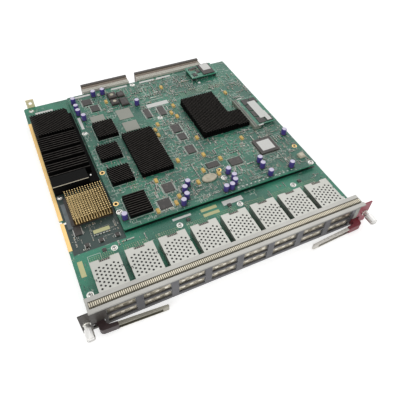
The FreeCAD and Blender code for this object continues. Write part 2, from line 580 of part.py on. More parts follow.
def cage_cover(x, pierced):
    """Folded cover of one cage: short skirts, a rear notch and rows of round holes."""
    half = FRAME_WIDTH / 2
    y0 = CAGE_BEHIND_PANEL
    cover = join([box(x - half - SKIRT_THICKNESS, x + half + SKIRT_THICKNESS, y0, CAGE_REAR,
                      COVER_UNDER, COVER_TOP),
                  box(x - half - SKIRT_THICKNESS, x - half, y0, CAGE_REAR,
                      COVER_UNDER - SKIRT_HEIGHT, COVER_TOP),
                  box(x + half, x + half + SKIRT_THICKNESS, y0, CAGE_REAR,
                      COVER_UNDER - SKIRT_HEIGHT, COVER_TOP)])
    cuts = [box(x - REAR_NOTCH_WIDTH / 2, x + REAR_NOTCH_WIDTH / 2, CAGE_REAR - REAR_NOTCH_DEPTH,
                CAGE_REAR + 1, COVER_UNDER - 1, COVER_TOP + 1)]
    if pierced:
        first = FLANGE_DEPTH
        last = CAGE_REAR - REAR_NOTCH_DEPTH
        row_pitch = (last - first) / COVER_HOLE_ROWS
        column_pitch = SLOT_WIDTH / COVER_HOLE_COLUMNS
        for i in range(COVER_HOLE_COLUMNS):
            hole_x = x + (i - (COVER_HOLE_COLUMNS - 1) / 2) * column_pitch
            shift = row_pitch / 4 if i % 2 else -row_pitch / 4
            for j in range(COVER_HOLE_ROWS):
                hole_y = first + (j + 0.5) * row_pitch + shift
                cuts.append(prism(6, COVER_HOLE_RADIUS, COVER_THICKNESS + 2,
                                  (hole_x, hole_y, COVER_UNDER - 1), (0, 0, 1)))
        width, length = SIDE_NOTCH
        for side, y in zip((-1, 1), SIDE_NOTCH_PLACES):
            edge = x + side * (half + SKIRT_THICKNESS)
            cuts.append(box(edge - width, edge + width, y, y + length, COVER_UNDER - SKIRT_HEIGHT / 2,
                            COVER_TOP + 1))
    return cover.cut(cuts)


def module_socket(x):
    """Edge socket that a module plugs into, at the rear of one cage."""
    rear = CAGE_REAR - CAGE_WALL - SOCKET_FROM_REAR
    front = rear - SOCKET_DEPTH
    z0 = BOARD_TOP
    body = box(x - SOCKET_WIDTH / 2, x + SOCKET_WIDTH / 2, front, rear, z0, z0 + SOCKET_HEIGHT)
    middle = z0 + SOCKET_HEIGHT / 2
    mouth = box(x - SOCKET_MOUTH_WIDTH / 2, x + SOCKET_MOUTH_WIDTH / 2, front - 1,
                front + SOCKET_TONGUE_DEPTH, middle - SOCKET_TONGUE_HEIGHT / 2,
                middle + SOCKET_TONGUE_HEIGHT / 2)
    return body.cut(mouth)


def slot_door(x):
    """Flap door: a plate on one round trunnion bar, with raised contact pads on its face."""
    half = SLOT_WIDTH / 2 - DOOR_SIDE_GAP
    plate = box(x - half, x + half, DOOR_FACE, DOOR_FACE + DOOR_THICKNESS,
                BOARD_TOP + DOOR_BOARD_GAP, DOOR_AXIS_Z)
    bar_half = FRAME_WIDTH / 2 - TRUNNION_END_GAP
    bar = prism(TRUNNION_SIDES, TRUNNION_RADIUS, 2 * bar_half, (x - bar_half, DOOR_AXIS_Y, DOOR_AXIS_Z),
                (1, 0, 0))
    pads = []
    pitch = 2 * half / DIMPLE_COUNT
    pad_z = WINDOW_BOTTOM + SLOT_HEIGHT * 0.45
    for i in range(DIMPLE_COUNT):
        pad_x = x + (i - (DIMPLE_COUNT - 1) / 2) * pitch
        pads.append(box(pad_x - DIMPLE_WIDTH / 2, pad_x + DIMPLE_WIDTH / 2, DOOR_FACE - DIMPLE_PROUD,
                        DOOR_FACE, pad_z - DIMPLE_HEIGHT / 2, pad_z + DIMPLE_HEIGHT / 2))
    return join([plate, bar] + pads)


# ------------------------------------------------------------- ejector levers
def lever_bracket():
    """Folded bracket of the right-hand lever: a web behind the panel and two lugs."""
    t = BRACKET_SHEET
    z0 = SLOT_BOTTOM - t
    z1 = SLOT_TOP + t
    web = box(SLOT_IN - BRACKET_MARGIN, SLOT_OUT + BRACKET_OUTER_MARGIN, 0, t, z0, z1 + BRACKET_MARGIN)
    lugs = [box(PIVOT_X - HUB_RADIUS - 1, PIVOT_X + HUB_RADIUS, 0, PIVOT_BEHIND + HUB_RADIUS, z, z + t)
            for z in (z0, z1 - t)]
    throat = box(SLOT_IN, SLOT_OUT, -1, t + 1, SLOT_BOTTOM, SLOT_TOP)
    bore = prism(PIVOT_SIDES, PIVOT_RADIUS, z1 - z0 + 2, (PIVOT_X, PIVOT_BEHIND, z0 - 1), (0, 0, 1))
    return join([web] + lugs).cut([throat, bore])


def lever_pin():
    """Pivot pin of the right-hand lever, flush with the bracket lugs."""
    z0 = SLOT_BOTTOM - BRACKET_SHEET
    return prism(PIVOT_SIDES, PIVOT_RADIUS, SLOT_TOP + BRACKET_SHEET - z0, (PIVOT_X, PIVOT_BEHIND, z0),
                 (0, 0, 1))


def arm_outline(x):
    """Front and rear of the lever arm at one place along it."""
    share = (LEG_IN - x) / (LEG_IN - PIVOT_X + ARM_LENGTH)
    front = -LEG_REACH - ARM_SPLAY * share
    return front, front + ARM_ROOT_DEPTH + (ARM_TIP_DEPTH - ARM_ROOT_DEPTH) * share


def lever_cam():
    """Moulded right-hand cam: hub, two prongs, the leg through the slot and the arm's socket."""
    z0 = LEVER_UNDER
    height = LEVER_HEIGHT
    root = arm_outline(LEG_IN)[1]
    grip_x = LEG_IN - ARM_GRIP
    grip_front, grip_rear = arm_outline(grip_x)
    c = LEG_CORNER
    f = LEG_FILLET
    k = math.sqrt(0.5)
    rail = Part.Arc(V(LEG_OUT, c - LEG_REACH, z0), V(LEG_OUT - c + c * k, c - LEG_REACH - c * k, z0),
                    V(LEG_OUT - c, -LEG_REACH, z0))
    fillet = Part.Arc(V(LEG_IN - f, root, z0), V(LEG_IN - f + f * k, root + f - f * k, z0),
                      V(LEG_IN, root + f, z0))
    stops = [V(LEG_OUT, PIVOT_BEHIND, z0), V(LEG_OUT, c - LEG_REACH, z0), V(LEG_OUT - c, -LEG_REACH, z0),
             V(grip_x, grip_front, z0), V(grip_x, grip_rear, z0), V(LEG_IN - f, root, z0),
             V(LEG_IN, root + f, z0), V(LEG_IN, PIVOT_BEHIND, z0), V(LEG_OUT, PIVOT_BEHIND, z0)]
    rounds = {1: rail.toShape(), 5: fillet.toShape()}
    edges = [rounds.get(i) or Part.makeLine(stops[i], stops[i + 1]) for i in range(len(stops) - 1)]
    leg = Part.Face(Part.Wire(edges)).extrude(V(0, 0, height))
    hub = rod(HUB_RADIUS, height, (PIVOT_X, PIVOT_BEHIND, z0), (0, 0, 1))
    prongs = []
    for y in (NOSE_BEHIND, NOSE_BEHIND + NOSE_THICKNESS + NOSE_GAP):
        prongs.append(box(PIVOT_X, PIVOT_X + NOSE_REACH, y, y + NOSE_THICKNESS, z0, z0 + height))
    bore = rod(PIVOT_RADIUS + PIVOT_CLEARANCE, height + 2, (PIVOT_X, PIVOT_BEHIND, z0 - 1), (0, 0, 1))
    return join([leg, hub] + prongs).cut([bore, lever_arm()])


def lever_arm():
    """Folded channel arm of the right-hand lever, open to the front, with ribs on top."""
    root_x = LEG_IN + ARM_OVERLAP
    tip_x = PIVOT_X - ARM_LENGTH
    z0 = -LEVER_DROP - ARM_HEIGHT / 2
    z1 = z0 + ARM_HEIGHT
    outline = [arm_outline(root_x), arm_outline(tip_x)]
    w = ARM_WALL
    bar = slab([(root_x, outline[0][0]), (root_x, outline[0][1]), (tip_x, outline[1][1]),
                (tip_x, outline[1][0])], z0, z1)
    tip = rod(ARM_TIP_DEPTH / 2, ARM_HEIGHT, (tip_x, sum(outline[1]) / 2, z0), (0, 0, 1))
    channel = slab([(root_x - 3, outline[0][0] - 2), (root_x - 3, outline[0][1] - w),
                    (tip_x + 6, outline[1][1] - w), (tip_x + 6, outline[1][0] - 2)], z0 + w, z1 - w)
    first = LEG_IN - ARM_GRIP - ARM_PLAIN_ROOT
    pitch = (first - tip_x - ARM_PLAIN_TIP) / ARM_RIBS
    ribs = []
    for i in range(ARM_RIBS):
        x = first - i * pitch
        front, rear = arm_outline(x)
        ribs.append(box(x - pitch / 2, x, front + 0.6, rear - 0.6, z1 - 0.1, z1 + ARM_RIB_HEIGHT))
    return join([bar, tip] + ribs).cut(channel)


# ------------------------------------------------------------- captive screws
def neck_front():
    """Front face of the ferrule's neck."""
    return PANEL_FACE - NECK_LENGTH


def ring_front():
    """Front face of the retaining ring while the screw stands out."""
    return neck_front() + NECK_WALL + RING_GAP


def thumbscrew():
    """Right-hand captive screw: slotted knob with a hollow rear, thin waist and thread."""
    rear = PANEL_FACE - KNOB_FORWARD
    front = rear - KNOB_LENGTH
    knob = join([prism(KNOB_SIDES, KNOB_RADIUS, KNOB_LENGTH - KNOB_NOSE, (SCREW_X, front + KNOB_NOSE, 0),
                       (0, 1, 0)),
                 prism(KNOB_SIDES, KNOB_RADIUS - KNOB_NOSE, KNOB_NOSE, (SCREW_X, front, 0), (0, 1, 0))])
    cuts = [prism(KNOB_SIDES, KNOB_BORE_RADIUS, KNOB_BORE_DEPTH + 1,
                  (SCREW_X, rear - KNOB_BORE_DEPTH, 0), (0, 1, 0)),
            box(SCREW_X - KNOB_RADIUS, SCREW_X + KNOB_RADIUS, front - 1, front + KNOB_SLOT_DEPTH,
                -KNOB_SLOT_WIDTH / 2, KNOB_SLOT_WIDTH / 2)]
    knob = knob.cut(cuts)
    start = rear - KNOB_BORE_DEPTH
    waist = prism(SHANK_SIDES, WAIST_RADIUS, THREAD_BEHIND - start, (SCREW_X, start, 0), (0, 1, 0))
    thread = rod(THREAD_RADIUS, THREAD_REACH - THREAD_BEHIND, (SCREW_X, THREAD_BEHIND, 0), (0, 1, 0))
    ring_y = ring_front()
    groove = prism(6, 2 * WAIST_RADIUS, RING_THICKNESS + 2 * RING_GAP, (SCREW_X, ring_y - RING_GAP, 0),
                   (0, 1, 0))
    groove = groove.cut(prism(SHANK_SIDES, WAIST_RADIUS - GROOVE_DEPTH, RING_THICKNESS + 2,
                              (SCREW_X, ring_y - 1, 0), (0, 1, 0)))
    return join([knob, waist, thread]).cut(groove)


def retaining_ring():
    """Snap ring in the groove of the right-hand screw, inside the ferrule's neck."""
    y0 = ring_front()
    ring = prism(12, RING_RADIUS, RING_THICKNESS, (SCREW_X, y0, 0), (0, 1, 0))
    bore_radius = WAIST_RADIUS - GROOVE_DEPTH + RING_BORE_GAP
    bore = prism(12, bore_radius, RING_THICKNESS + 2, (SCREW_X, y0 - 1, 0), (0, 1, 0))
    mouth = box(SCREW_X - bore_radius * 0.8, SCREW_X + bore_radius * 0.8, y0 - 1,
                y0 + RING_THICKNESS + 1, -RING_RADIUS - 1, 0)
    return ring.cut([bore, mouth])


def screw_ferrule():
    """Collar pressed on the panel face round the right-hand screw, with a closed hollow neck."""
    y0 = neck_front()
    collar_y = PANEL_FACE - FERRULE_THICKNESS
    collar = prism(KNOB_SIDES, FERRULE_RADIUS, FERRULE_THICKNESS, (SCREW_X, collar_y, 0), (0, 1, 0))
    neck = prism(KNOB_SIDES, NECK_RADIUS, NECK_LENGTH, (SCREW_X, y0, 0), (0, 1, 0))
    chamber = prism(KNOB_SIDES, NECK_RADIUS - NECK_WALL, NECK_LENGTH, (SCREW_X, y0 + NECK_WALL, 0), (0, 1, 0))
    bore = prism(KNOB_SIDES, WAIST_RADIUS + 2 * SHANK_CLEARANCE, NECK_LENGTH, (SCREW_X, y0 - 1, 0), (0, 1, 0))
    return join([collar, neck]).cut([chamber, bore])


def screw_spring():
    """Coil round the right-hand shank, drawn as closed rings joined by a rib."""
    y1 = neck_front()
    y0 = PANEL_FACE - KNOB_FORWARD - KNOB_BORE_DEPTH + SCREW_TRAVEL + SPRING_END_GAP
    radius = (WAIST_RADIUS + KNOB_BORE_RADIUS) / 2
    pitch = (y1 - y0 - 2 * SPRING_WIRE) / (SPRING_TURNS - 1)
    rings = []
    for i in range(SPRING_TURNS):
        y = y0 + i * pitch
        outer = prism(6, radius + SPRING_WIRE, 2 * SPRING_WIRE, (SCREW_X, y, 0), (0, 1, 0))
        rings.append(outer.cut(prism(6, radius - SPRING_WIRE / 2, 2 * SPRING_WIRE + 2, (SCREW_X, y - 1, 0),
                                     (0, 1, 0))))
    rib = box(SCREW_X - SPRING_WIRE, SCREW_X + SPRING_WIRE, y0, y1, radius - SPRING_WIRE,
              radius + SPRING_WIRE * 0.6)
    return join(rings + [rib])


# --------------------------------------------------------------- rear sockets
def backplane_connector(start, width):
    """Right-angle backplane connector: a stepped housing that hooks behind the board."""
    x0 = BOARD_LEFT + start
    x1 = x0 + width
    seat = BOARD_REAR - CONNECTOR_SEAT
    back = BOARD_REAR + CONNECTOR_OVERHANG
    top = BOARD_TOP + CONNECTOR_TOP
    low = BOARD_TOP - CONNECTOR_BELOW
    step_z = top - CONNECTOR_STEP_HEIGHT
    step_y = back - CONNECTOR_STEP_DEPTH
    section = [(seat, BOARD_TOP), (seat, step_z), (step_y, step_z), (step_y, top), (back, top),
               (back, low), (BOARD_REAR, low), (BOARD_REAR, BOARD_TOP)]
    housing = extrusion_x(section, x0, x1)
    cuts = []
    pitch = (step_y - seat) / (CONNECTOR_RIBS + 1)
    for i in range(CONNECTOR_RIBS):
        y = seat + (i + 1) * pitch
        cuts.append(box(x0 - 1, x1 + 1, y - 0.6, y + 0.6, step_z - 0.8, step_z + 1))
    height = (top - low) * 0.22
    for share in (0.24, 0.68):
        z = low + (top - low) * share
        cuts.append(box(x0 + 2, x1 - 2, back - 5, back + 1, z - height / 2, z + height / 2))
    return housing.cut(cuts)


# ----------------------------------------------------------------- heat sinks
def grooves(start, size, pitch, gap):
    """Even grooves across a span, as (from, to) pairs between whole ribs."""
    count = max(2, int(round((size + gap) / pitch)))
    rib = (size - (count - 1) * gap) / count
    return [(start + (i + 1) * rib + i * gap, start + (i + 1) * (rib + gap)) for i in range(count - 1)]


def pin_sink(place, z0, corner, base, pitch=None, gap=None):
    """Cross-cut heat sink: a solid block with grooves sawn both ways down to its base."""
    left, front, width, depth, height = place
    pitch = pitch or PIN_PITCH
    gap = gap or PIN_GAP
    body = block(place, z0, corner)
    x0 = corner[0] + left
    y0 = corner[1] + front
    top = z0 + height
    cuts = [box(a, b, y0 - 1, y0 + depth + 1, z0 + base, top + 1) for a, b in grooves(x0, width, pitch, gap)]
    cuts += [box(x0 - 1, x0 + width + 1, a, b, z0 + base, top + 1)
             for a, b in grooves(y0, depth, pitch, gap)]
    return body.cut(cuts)


def fin_sink(place, z0, corner, base, fins):
    """Heat sink with straight fins along X."""
    left, front, width, depth, height = place
    body = block(place, z0, corner)
    x0 = corner[0] + left
    y0 = corner[1] + front
    pitch = depth / fins
    cuts = [box(x0 - 1, x0 + width + 1, a, b, z0 + base, z0 + height + 1)
            for a, b in grooves(y0, depth, pitch, pitch / 2)]
    return body.cut(cuts)


def regulator_sink():
    """Long heat sink at the left edge: plain shelf, straight fins, then cross-cut pins."""
    left, front, depth = REGULATOR_SINK
    width = DAUGHTER_LEFT - REGULATOR_GAP - REGULATOR_LEDGE - left
    x0 = BOARD_LEFT + left
    y0 = BOARD_FRONT + front
    z0 = BOARD_TOP
    top = z0 + REGULATOR_HEIGHT
    base = box(x0, x0 + width + REGULATOR_LEDGE, y0, y0 + depth, z0, z0 + REGULATOR_BASE)
    body = box(x0, x0 + width, y0, y0 + depth, z0, top)
    break_y0 = y0 + REGULATOR_BREAK[0]
    break_y1 = y0 + REGULATOR_BREAK[1]
    floor = z0 + REGULATOR_BASE
    cuts = [box(x0 - 1, x0 + width + 1, a, b, floor, top + 1)
            for a, b in grooves(y0 + REGULATOR_SHELF, break_y0 - y0 - REGULATOR_SHELF, PIN_PITCH, PIN_GAP)]
    cuts.append(box(x0 - 1, x0 + width + 1, break_y0, break_y1, floor, top + 1))
    cuts += [box(x0 - 1, x0 + width + 1, a, b, floor, top + 1)
             for a, b in grooves(break_y1, y0 + depth - break_y1, PIN_PITCH, PIN_GAP)]
    cuts += [box(a, b, break_y1 - 0.1, y0 + depth + 1, floor, top + 1)
             for a, b in grooves(x0, width, PIN_PITCH, PIN_GAP)]
    cuts.append(box(x0 + width - REGULATOR_STEP, x0 + width + 1, y0 - 1,
                    y0 + REGULATOR_SHELF - REGULATOR_STEP_GAP,
                    z0 + REGULATOR_BASE * 2, top + 1))
    return join([base, body]).cut(cuts)


def gold_sink():
    """Gold pin-fin heat sink on the carrier chip."""
    left, front, depth = GOLD_SINK
    place = (left, front, DAUGHTER_LEFT - GOLD_SINK_GAP - left, depth, GOLD_SINK_HEIGHT)
    return pin_sink(place, BOARD_TOP + GOLD_CHIP_HEIGHT, (BOARD_LEFT, BOARD_FRONT), GOLD_SINK_BASE,
                    GOLD_PITCH, GOLD_PITCH / 2)


def main_chips():
    """Flat parts on the main board, with the large chip under the gold heat sink."""
    left, front, depth = GOLD_SINK
    large = (left - GOLD_CHIP_MARGIN, front, DAUGHTER_LEFT - GOLD_SINK_GAP - left + GOLD_CHIP_MARGIN,
             depth, GOLD_CHIP_HEIGHT)
    return Part.makeCompound([block(p, BOARD_TOP, (BOARD_LEFT, BOARD_FRONT)) for p in MAIN_CHIPS + [large]])


# ------------------------------------------------------------ board components
def on_daughter(places):
    """Loose blocks seated on the daughter board."""
    return Part.makeCompound([block(spread(p), DAUGHTER_TOP, (DAUGHTER_X, DAUGHTER_Y)) for p in places])


def capacitor_cans():
    """Round aluminium capacitors, standing on the daughter board."""
    return Part.makeCompound([prism(CAN_SIDES, CAN_RADIUS, CAN_HEIGHT, (x, y, DAUGHTER_TOP), (0, 0, 1))
                              for x, y in map(daughter_spot, CAN_PLACES)])


def tantalum_blocks():
    """Small moulded tantalum capacitors on the daughter board."""
    width, depth, height = TANTALUM_SIZE
    return on_daughter([(x - width / 2, y - depth / 2, width, depth, height)
                        for x, y in TANTALUM_PLACES])


def pan_screw(x, y, z, length):
    """Pan-head screw with its shank downwards from the board face."""
    head = prism(SCREW_SIDES, SCREW_HEAD_RADIUS, SCREW_HEAD_HEIGHT, (x, y, z), (0, 0, 1))
    shank = prism(SCREW_SIDES, SCREW_SHANK_RADIUS, length, (x, y, z - length), (0, 0, 1))
    return join([head, shank])


def main_screws():
    """Screws through the main board."""
    return Part.makeCompound([pan_screw(x, y, BOARD_TOP, BOARD_THICKNESS)
                              for x, y in map(main_spot, MAIN_SCREWS)])


def daughter_screws():
    """Screws through the daughter board into its standoffs."""
    return Part.makeCompound([pan_screw(x, y, DAUGHTER_TOP, DAUGHTER_THICKNESS)
                              for x, y in map(daughter_spot, DAUGHTER_SCREWS)])


def daughter_standoffs():
    """Hexagonal spacers under the daughter board's screws, and the connectors that link the boards."""
    spacers = [prism(6, SCREW_HEAD_RADIUS, STACK_GAP, (x, y, BOARD_TOP), (0, 0, 1))
               for x, y in map(daughter_spot, DAUGHTER_SCREWS)]
    links = [block(spread(p) + (STACK_GAP,), BOARD_TOP, (DAUGHTER_X, DAUGHTER_Y)) for p in LINK_CONNECTORS]
    return Part.makeCompound(spacers + links)


def memory_socket():
    """Angled-entry socket along the left edge of the memory card, with two end latches."""
    left, front, width, depth = spread(MEMORY_CARD)
    x0 = DAUGHTER_X + left
    y0 = DAUGHTER_Y + front
    z0 = DAUGHTER_TOP
    card_z = z0 + MEMORY_CARD_LIFT
    body = box(x0 - MEMORY_SOCKET_WIDTH / 2, x0 + MEMORY_SOCKET_WIDTH / 2, y0 - 1, y0 + depth + 1, z0,
               card_z + MEMORY_CARD_THICKNESS + 1)
    arms = [box(x0, x0 + width, a, a + 1.4, z0, card_z) for a in (y0, y0 + depth - 1.4)]
    slot = box(x0, x0 + MEMORY_SOCKET_WIDTH, y0, y0 + depth, card_z, card_z + MEMORY_CARD_THICKNESS)
    return join([body] + arms).cut(slot)


def memory_card():
    """Memory card with its chips."""
    left, front, width, depth = spread(MEMORY_CARD)
    x0 = DAUGHTER_X + left
    y0 = DAUGHTER_Y + front
    z0 = DAUGHTER_TOP + MEMORY_CARD_LIFT
    pieces = [box(x0, x0 + width, y0, y0 + depth, z0, z0 + MEMORY_CARD_THICKNESS)]
    pitch = depth / MEMORY_CHIPS
    for i in range(MEMORY_CHIPS):
        y = y0 + (i + 0.5) * pitch
        pieces.append(box(x0 + width * 0.4, x0 + width * 0.92, y - pitch * 0.38, y + pitch * 0.38,
                          z0 + MEMORY_CARD_THICKNESS, z0 + MEMORY_CARD_THICKNESS + 1.2))
    return join(pieces)


def option_board():
    """Small plug-in board at the rear right, with its chip."""
    left, front, width, depth = spread(OPTION_BOARD)
    x0 = DAUGHTER_X + left
    y0 = DAUGHTER_Y + front
    z0 = DAUGHTER_TOP + OPTION_BOARD_LIFT
    card = box(x0, x0 + width, y0, y0 + depth, z0, z0 + OPTION_BOARD_THICKNESS)
    return join([card, block(spread(OPTION_CHIP), z0 + OPTION_BOARD_THICKNESS, (x0, y0))])


def option_header():
    """Pin headers that carry the plug-in board."""
    left, front, width, depth = OPTION_BOARD
    run = depth - 2 * HEADER_INSET
    return on_daughter([(x, front + HEADER_INSET, HEADER_WIDTH, run, OPTION_BOARD_LIFT)
                        for x in (left + HEADER_INSET, left + width - HEADER_INSET - HEADER_WIDTH)])


# ------------------------------------------------------------------- assembly
def sub_parts():
    """Every sub-part by its node name."""
    corner = (DAUGHTER_X, DAUGHTER_Y)
    upper = {x: i for i, x in enumerate(COLUMN_CENTRES)}
    frames = [cage_frame(x) for x in upper]
    plain = [cage_cover(x, False) for x in upper]
    sockets = [module_socket(x) for x in upper]
    parts = {
        "front_panel": front_panel(),
        "top_lip": top_lip(),
        "emi_gasket": emi_gasket(),
        "main_board": main_board(),
        "daughter_board": daughter_board(),
        "edge_contact_strips": edge_strips(),
        "carrier_tray": carrier_tray(),
        "guide_tab": guide_tab(),
        "tray_posts": tray_posts(),
        "upper_cage_frames": Part.makeCompound(frames),
        "lower_cage_frames": Part.makeCompound([below_board(s) for s in frames]),
        "upper_cage_covers": Part.makeCompound([cage_cover(x, True) for x in upper]),
        "lower_cage_covers": Part.makeCompound([below_board(s) for s in plain]),
        "upper_module_sockets": Part.makeCompound(sockets),
        "lower_module_sockets": Part.makeCompound([below_board(s) for s in sockets]),
        "lever_brackets": Part.makeCompound([mirrored_x(lever_bracket()), lever_bracket()]),
        "lever_pins": Part.makeCompound([mirrored_x(lever_pin()), lever_pin()]),
        "left_lever_cam": mirrored_x(lever_cam()),
        "right_lever_cam": lever_cam(),
        "left_lever_arm": mirrored_x(lever_arm()),
        "right_lever_arm": lever_arm(),
        "left_thumbscrew": mirrored_x(thumbscrew()),
        "right_thumbscrew": thumbscrew(),
        "left_retaining_ring": mirrored_x(retaining_ring()),
        "right_retaining_ring": retaining_ring(),
        "screw_ferrules": Part.makeCompound([mirrored_x(screw_ferrule()), screw_ferrule()]),
        "screw_springs": Part.makeCompound([mirrored_x(screw_spring()), screw_spring()]),
        "left_backplane_connector": backplane_connector(CONNECTOR_LEFT_START, CONNECTOR_LEFT_WIDTH),
        "right_backplane_connector": backplane_connector(CONNECTOR_RIGHT_START,
                                                         CONNECTOR_RIGHT_WIDTH),
        "regulator_heat_sink": regulator_sink(),
        "gold_heat_sink": gold_sink(),
        "main_chips": main_chips(),
        "small_heat_sinks": Part.makeCompound(
            [pin_sink(spread(p), DAUGHTER_TOP, corner, SINK_BASE) for p in SMALL_SINKS]
            + [fin_sink(spread(EDGE_SINK), DAUGHTER_TOP, corner, SINK_BASE, EDGE_SINK_FINS)]),
        "long_heat_sink": pin_sink(spread(LONG_SINK), DAUGHTER_TOP, corner, SINK_BASE),
        "large_heat_sink": join([pin_sink(spread(LARGE_SINK), DAUGHTER_TOP, corner, SINK_BASE),
                                 pin_sink(spread(ARM_SINK), DAUGHTER_TOP, corner, SINK_BASE)]),
        "capacitor_cans": capacitor_cans(),
        "tantalum_capacitors": tantalum_blocks(),
        "daughter_chips": on_daughter(DAUGHTER_CHIPS),
        "power_blocks": on_daughter(POWER_BLOCKS + THERMAL_PADS),
        "main_screws": main_screws(),
        "daughter_screws": daughter_screws(),
        "daughter_standoffs": daughter_standoffs(),
        "memory_and_socket": Part.makeCompound([memory_socket(), memory_card()]),
        "option_board": Part.makeCompound([option_board()] + option_header().Solids),
    }
    for x, i in upper.items():
        door = slot_door(x)
        parts["upper_door_%d" % (i + 1)] = door
        parts["lower_door_%d" % (i + 1)] = below_board(door)
    return parts


def main():
    os.makedirs("parts", exist_ok=True)
    for name, shape in sub_parts().items():
        shape.exportStep("parts/%s.step" % name)


main()
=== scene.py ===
"""Dresses the switch line card: finishes, fine hardware and small electronic parts.

Lengths are millimetres in this file and are turned into metres when a mesh is made;
coordinates inside a finish are metres.  Each shape is a whole-array formula on a grid
or an outline, written in its docstring.
"""

import math

import bpy
import numpy as np
from mathutils import Matrix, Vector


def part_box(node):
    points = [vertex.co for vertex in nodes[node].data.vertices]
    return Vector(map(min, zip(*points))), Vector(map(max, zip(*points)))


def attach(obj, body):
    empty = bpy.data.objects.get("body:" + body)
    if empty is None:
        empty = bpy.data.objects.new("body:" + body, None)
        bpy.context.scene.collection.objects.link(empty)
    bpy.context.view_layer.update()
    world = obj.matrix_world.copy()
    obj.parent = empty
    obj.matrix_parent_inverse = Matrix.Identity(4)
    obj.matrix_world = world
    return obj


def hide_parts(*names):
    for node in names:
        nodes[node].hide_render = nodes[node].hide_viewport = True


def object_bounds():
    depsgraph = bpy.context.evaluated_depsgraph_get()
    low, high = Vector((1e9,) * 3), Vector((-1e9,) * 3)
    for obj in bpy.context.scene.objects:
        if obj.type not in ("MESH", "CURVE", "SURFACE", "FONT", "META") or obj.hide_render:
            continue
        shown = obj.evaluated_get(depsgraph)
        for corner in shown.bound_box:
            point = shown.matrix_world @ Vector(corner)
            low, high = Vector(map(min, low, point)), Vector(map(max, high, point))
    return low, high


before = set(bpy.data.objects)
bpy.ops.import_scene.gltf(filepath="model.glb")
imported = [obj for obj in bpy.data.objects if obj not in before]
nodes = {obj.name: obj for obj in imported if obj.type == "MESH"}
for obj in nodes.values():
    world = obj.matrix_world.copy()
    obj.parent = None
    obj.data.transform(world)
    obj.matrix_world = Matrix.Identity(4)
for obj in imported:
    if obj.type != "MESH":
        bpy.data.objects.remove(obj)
cad_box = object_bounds()
rng = np.random.default_rng(7)

CARD = "card"
SAW_PITCH = 3.8               # leaning saw cuts of the black sinks, measured along X
SAW_WIDTH = 1.2               # left standing between two of them
SAW_LEAN = 0.68               # X gained for each mm towards the front
STRAIGHT_PITCH = 3.7          # straight fins of the frontmost small sink
STRAIGHT_GAP = 2.5
RIDGE_PITCH = 4.65            # straight ridges in the middle of the left sink
RIDGE_GAP = 3.2
RIDGES_LEFT_OUT = (1, 6, 11)
GOLD_PITCH = 3.45
GOLD_PIN = 2.0
HOLE_RADIUS = 1.35            # punched holes in the cage covers
HOLE_PITCH = (4.35, 5.1)
HOLE_COLUMNS = 7
COVER_SHEET = 0.6
COVER_SKIRT = 0.5
COVER_FRONT_MARGIN = 1.2      # plain sheet before the first hole
COVER_REAR_MARGIN = 4.0
COVER_REAR_NOTCH = 7.6        # half its width
SIDE_NOTCHES = (33.0, 40.0)   # where the left and the right notch of a cover begin, in Y
SIDE_NOTCH_LENGTH = 3.4
SIDE_NOTCH_DEPTH = 2.2
FINGER_PITCH = 2.25           # sprung fingers of the gasket
FINGER_EDGES = (0.2, 0.78)    # shares of the pitch
FINGER_SHEET = 0.3
LEAD_PITCH = 1.0              # gull-wing leads of the flat chips
LEAD_REACH = 1.1
LEAD_WIDTH = 0.48             # share of the pitch
SCATTER_GRID = 0.8            # small scattered parts start on it and stand this far apart
BODY_START = 0.22             # share of a part's length before its body starts
CAP_LENGTH = 0.24             # share of a part's length that each bright cap covers
CAP_HEIGHT = 0.96             # of the body's height
LOOSE_GAP = 0.7               # bare board kept round a part when small parts are scattered
LIFT = 0.04                   # labels above what they lie on
LABEL_SHEET = 0.1
PRINT_LIFT = 0.01             # print and pads above the board
CAGE_PITCH = 42.2             # from one module cage to the next
EAR_WIDTH = 18.0              # crimson right end of the panel


# ------------------------------------------------------------------- the frame
def solids_of(node):
    """Lowest and highest corners, in mm, of each separate solid of a CAD node.

    Corners in one place count as one point.  Every point takes the smallest number
    that its triangles hold, until nothing changes; equal numbers are one solid.
    """
    mesh = nodes[node].data
    mesh.calc_loop_triangles()
    co = np.empty(len(mesh.vertices) * 3)
    mesh.vertices.foreach_get("co", co)
    tri = np.empty(len(mesh.loop_triangles) * 3, dtype=np.int64)
    mesh.loop_triangles.foreach_get("vertices", tri)
    co = co.reshape(-1, 3) * 1000
    _, first, point = np.unique(np.round(co, 3), axis=0, return_index=True, return_inverse=True)
    co = co[first]
    tri = point.ravel()[tri].reshape(-1, 3)
    label = np.arange(len(co))
    while True:
        lower = label.copy()
        low = label[tri].min(axis=1)
        for k in range(3):
            np.minimum.at(lower, tri[:, k], low)
        lower = lower[lower]
        if (lower == label).all():
            break
        label = lower
    groups = [co[label == g] for g in np.unique(label)]
    lows = np.array([g.min(axis=0) for g in groups])
    highs = np.array([g.max(axis=0) for g in groups])
    return lows, highs


def span_of(node):
    """Lowest and highest corner of a CAD node in mm."""
    low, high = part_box(node)
    return np.array(low) * 1000, np.array(high) * 1000


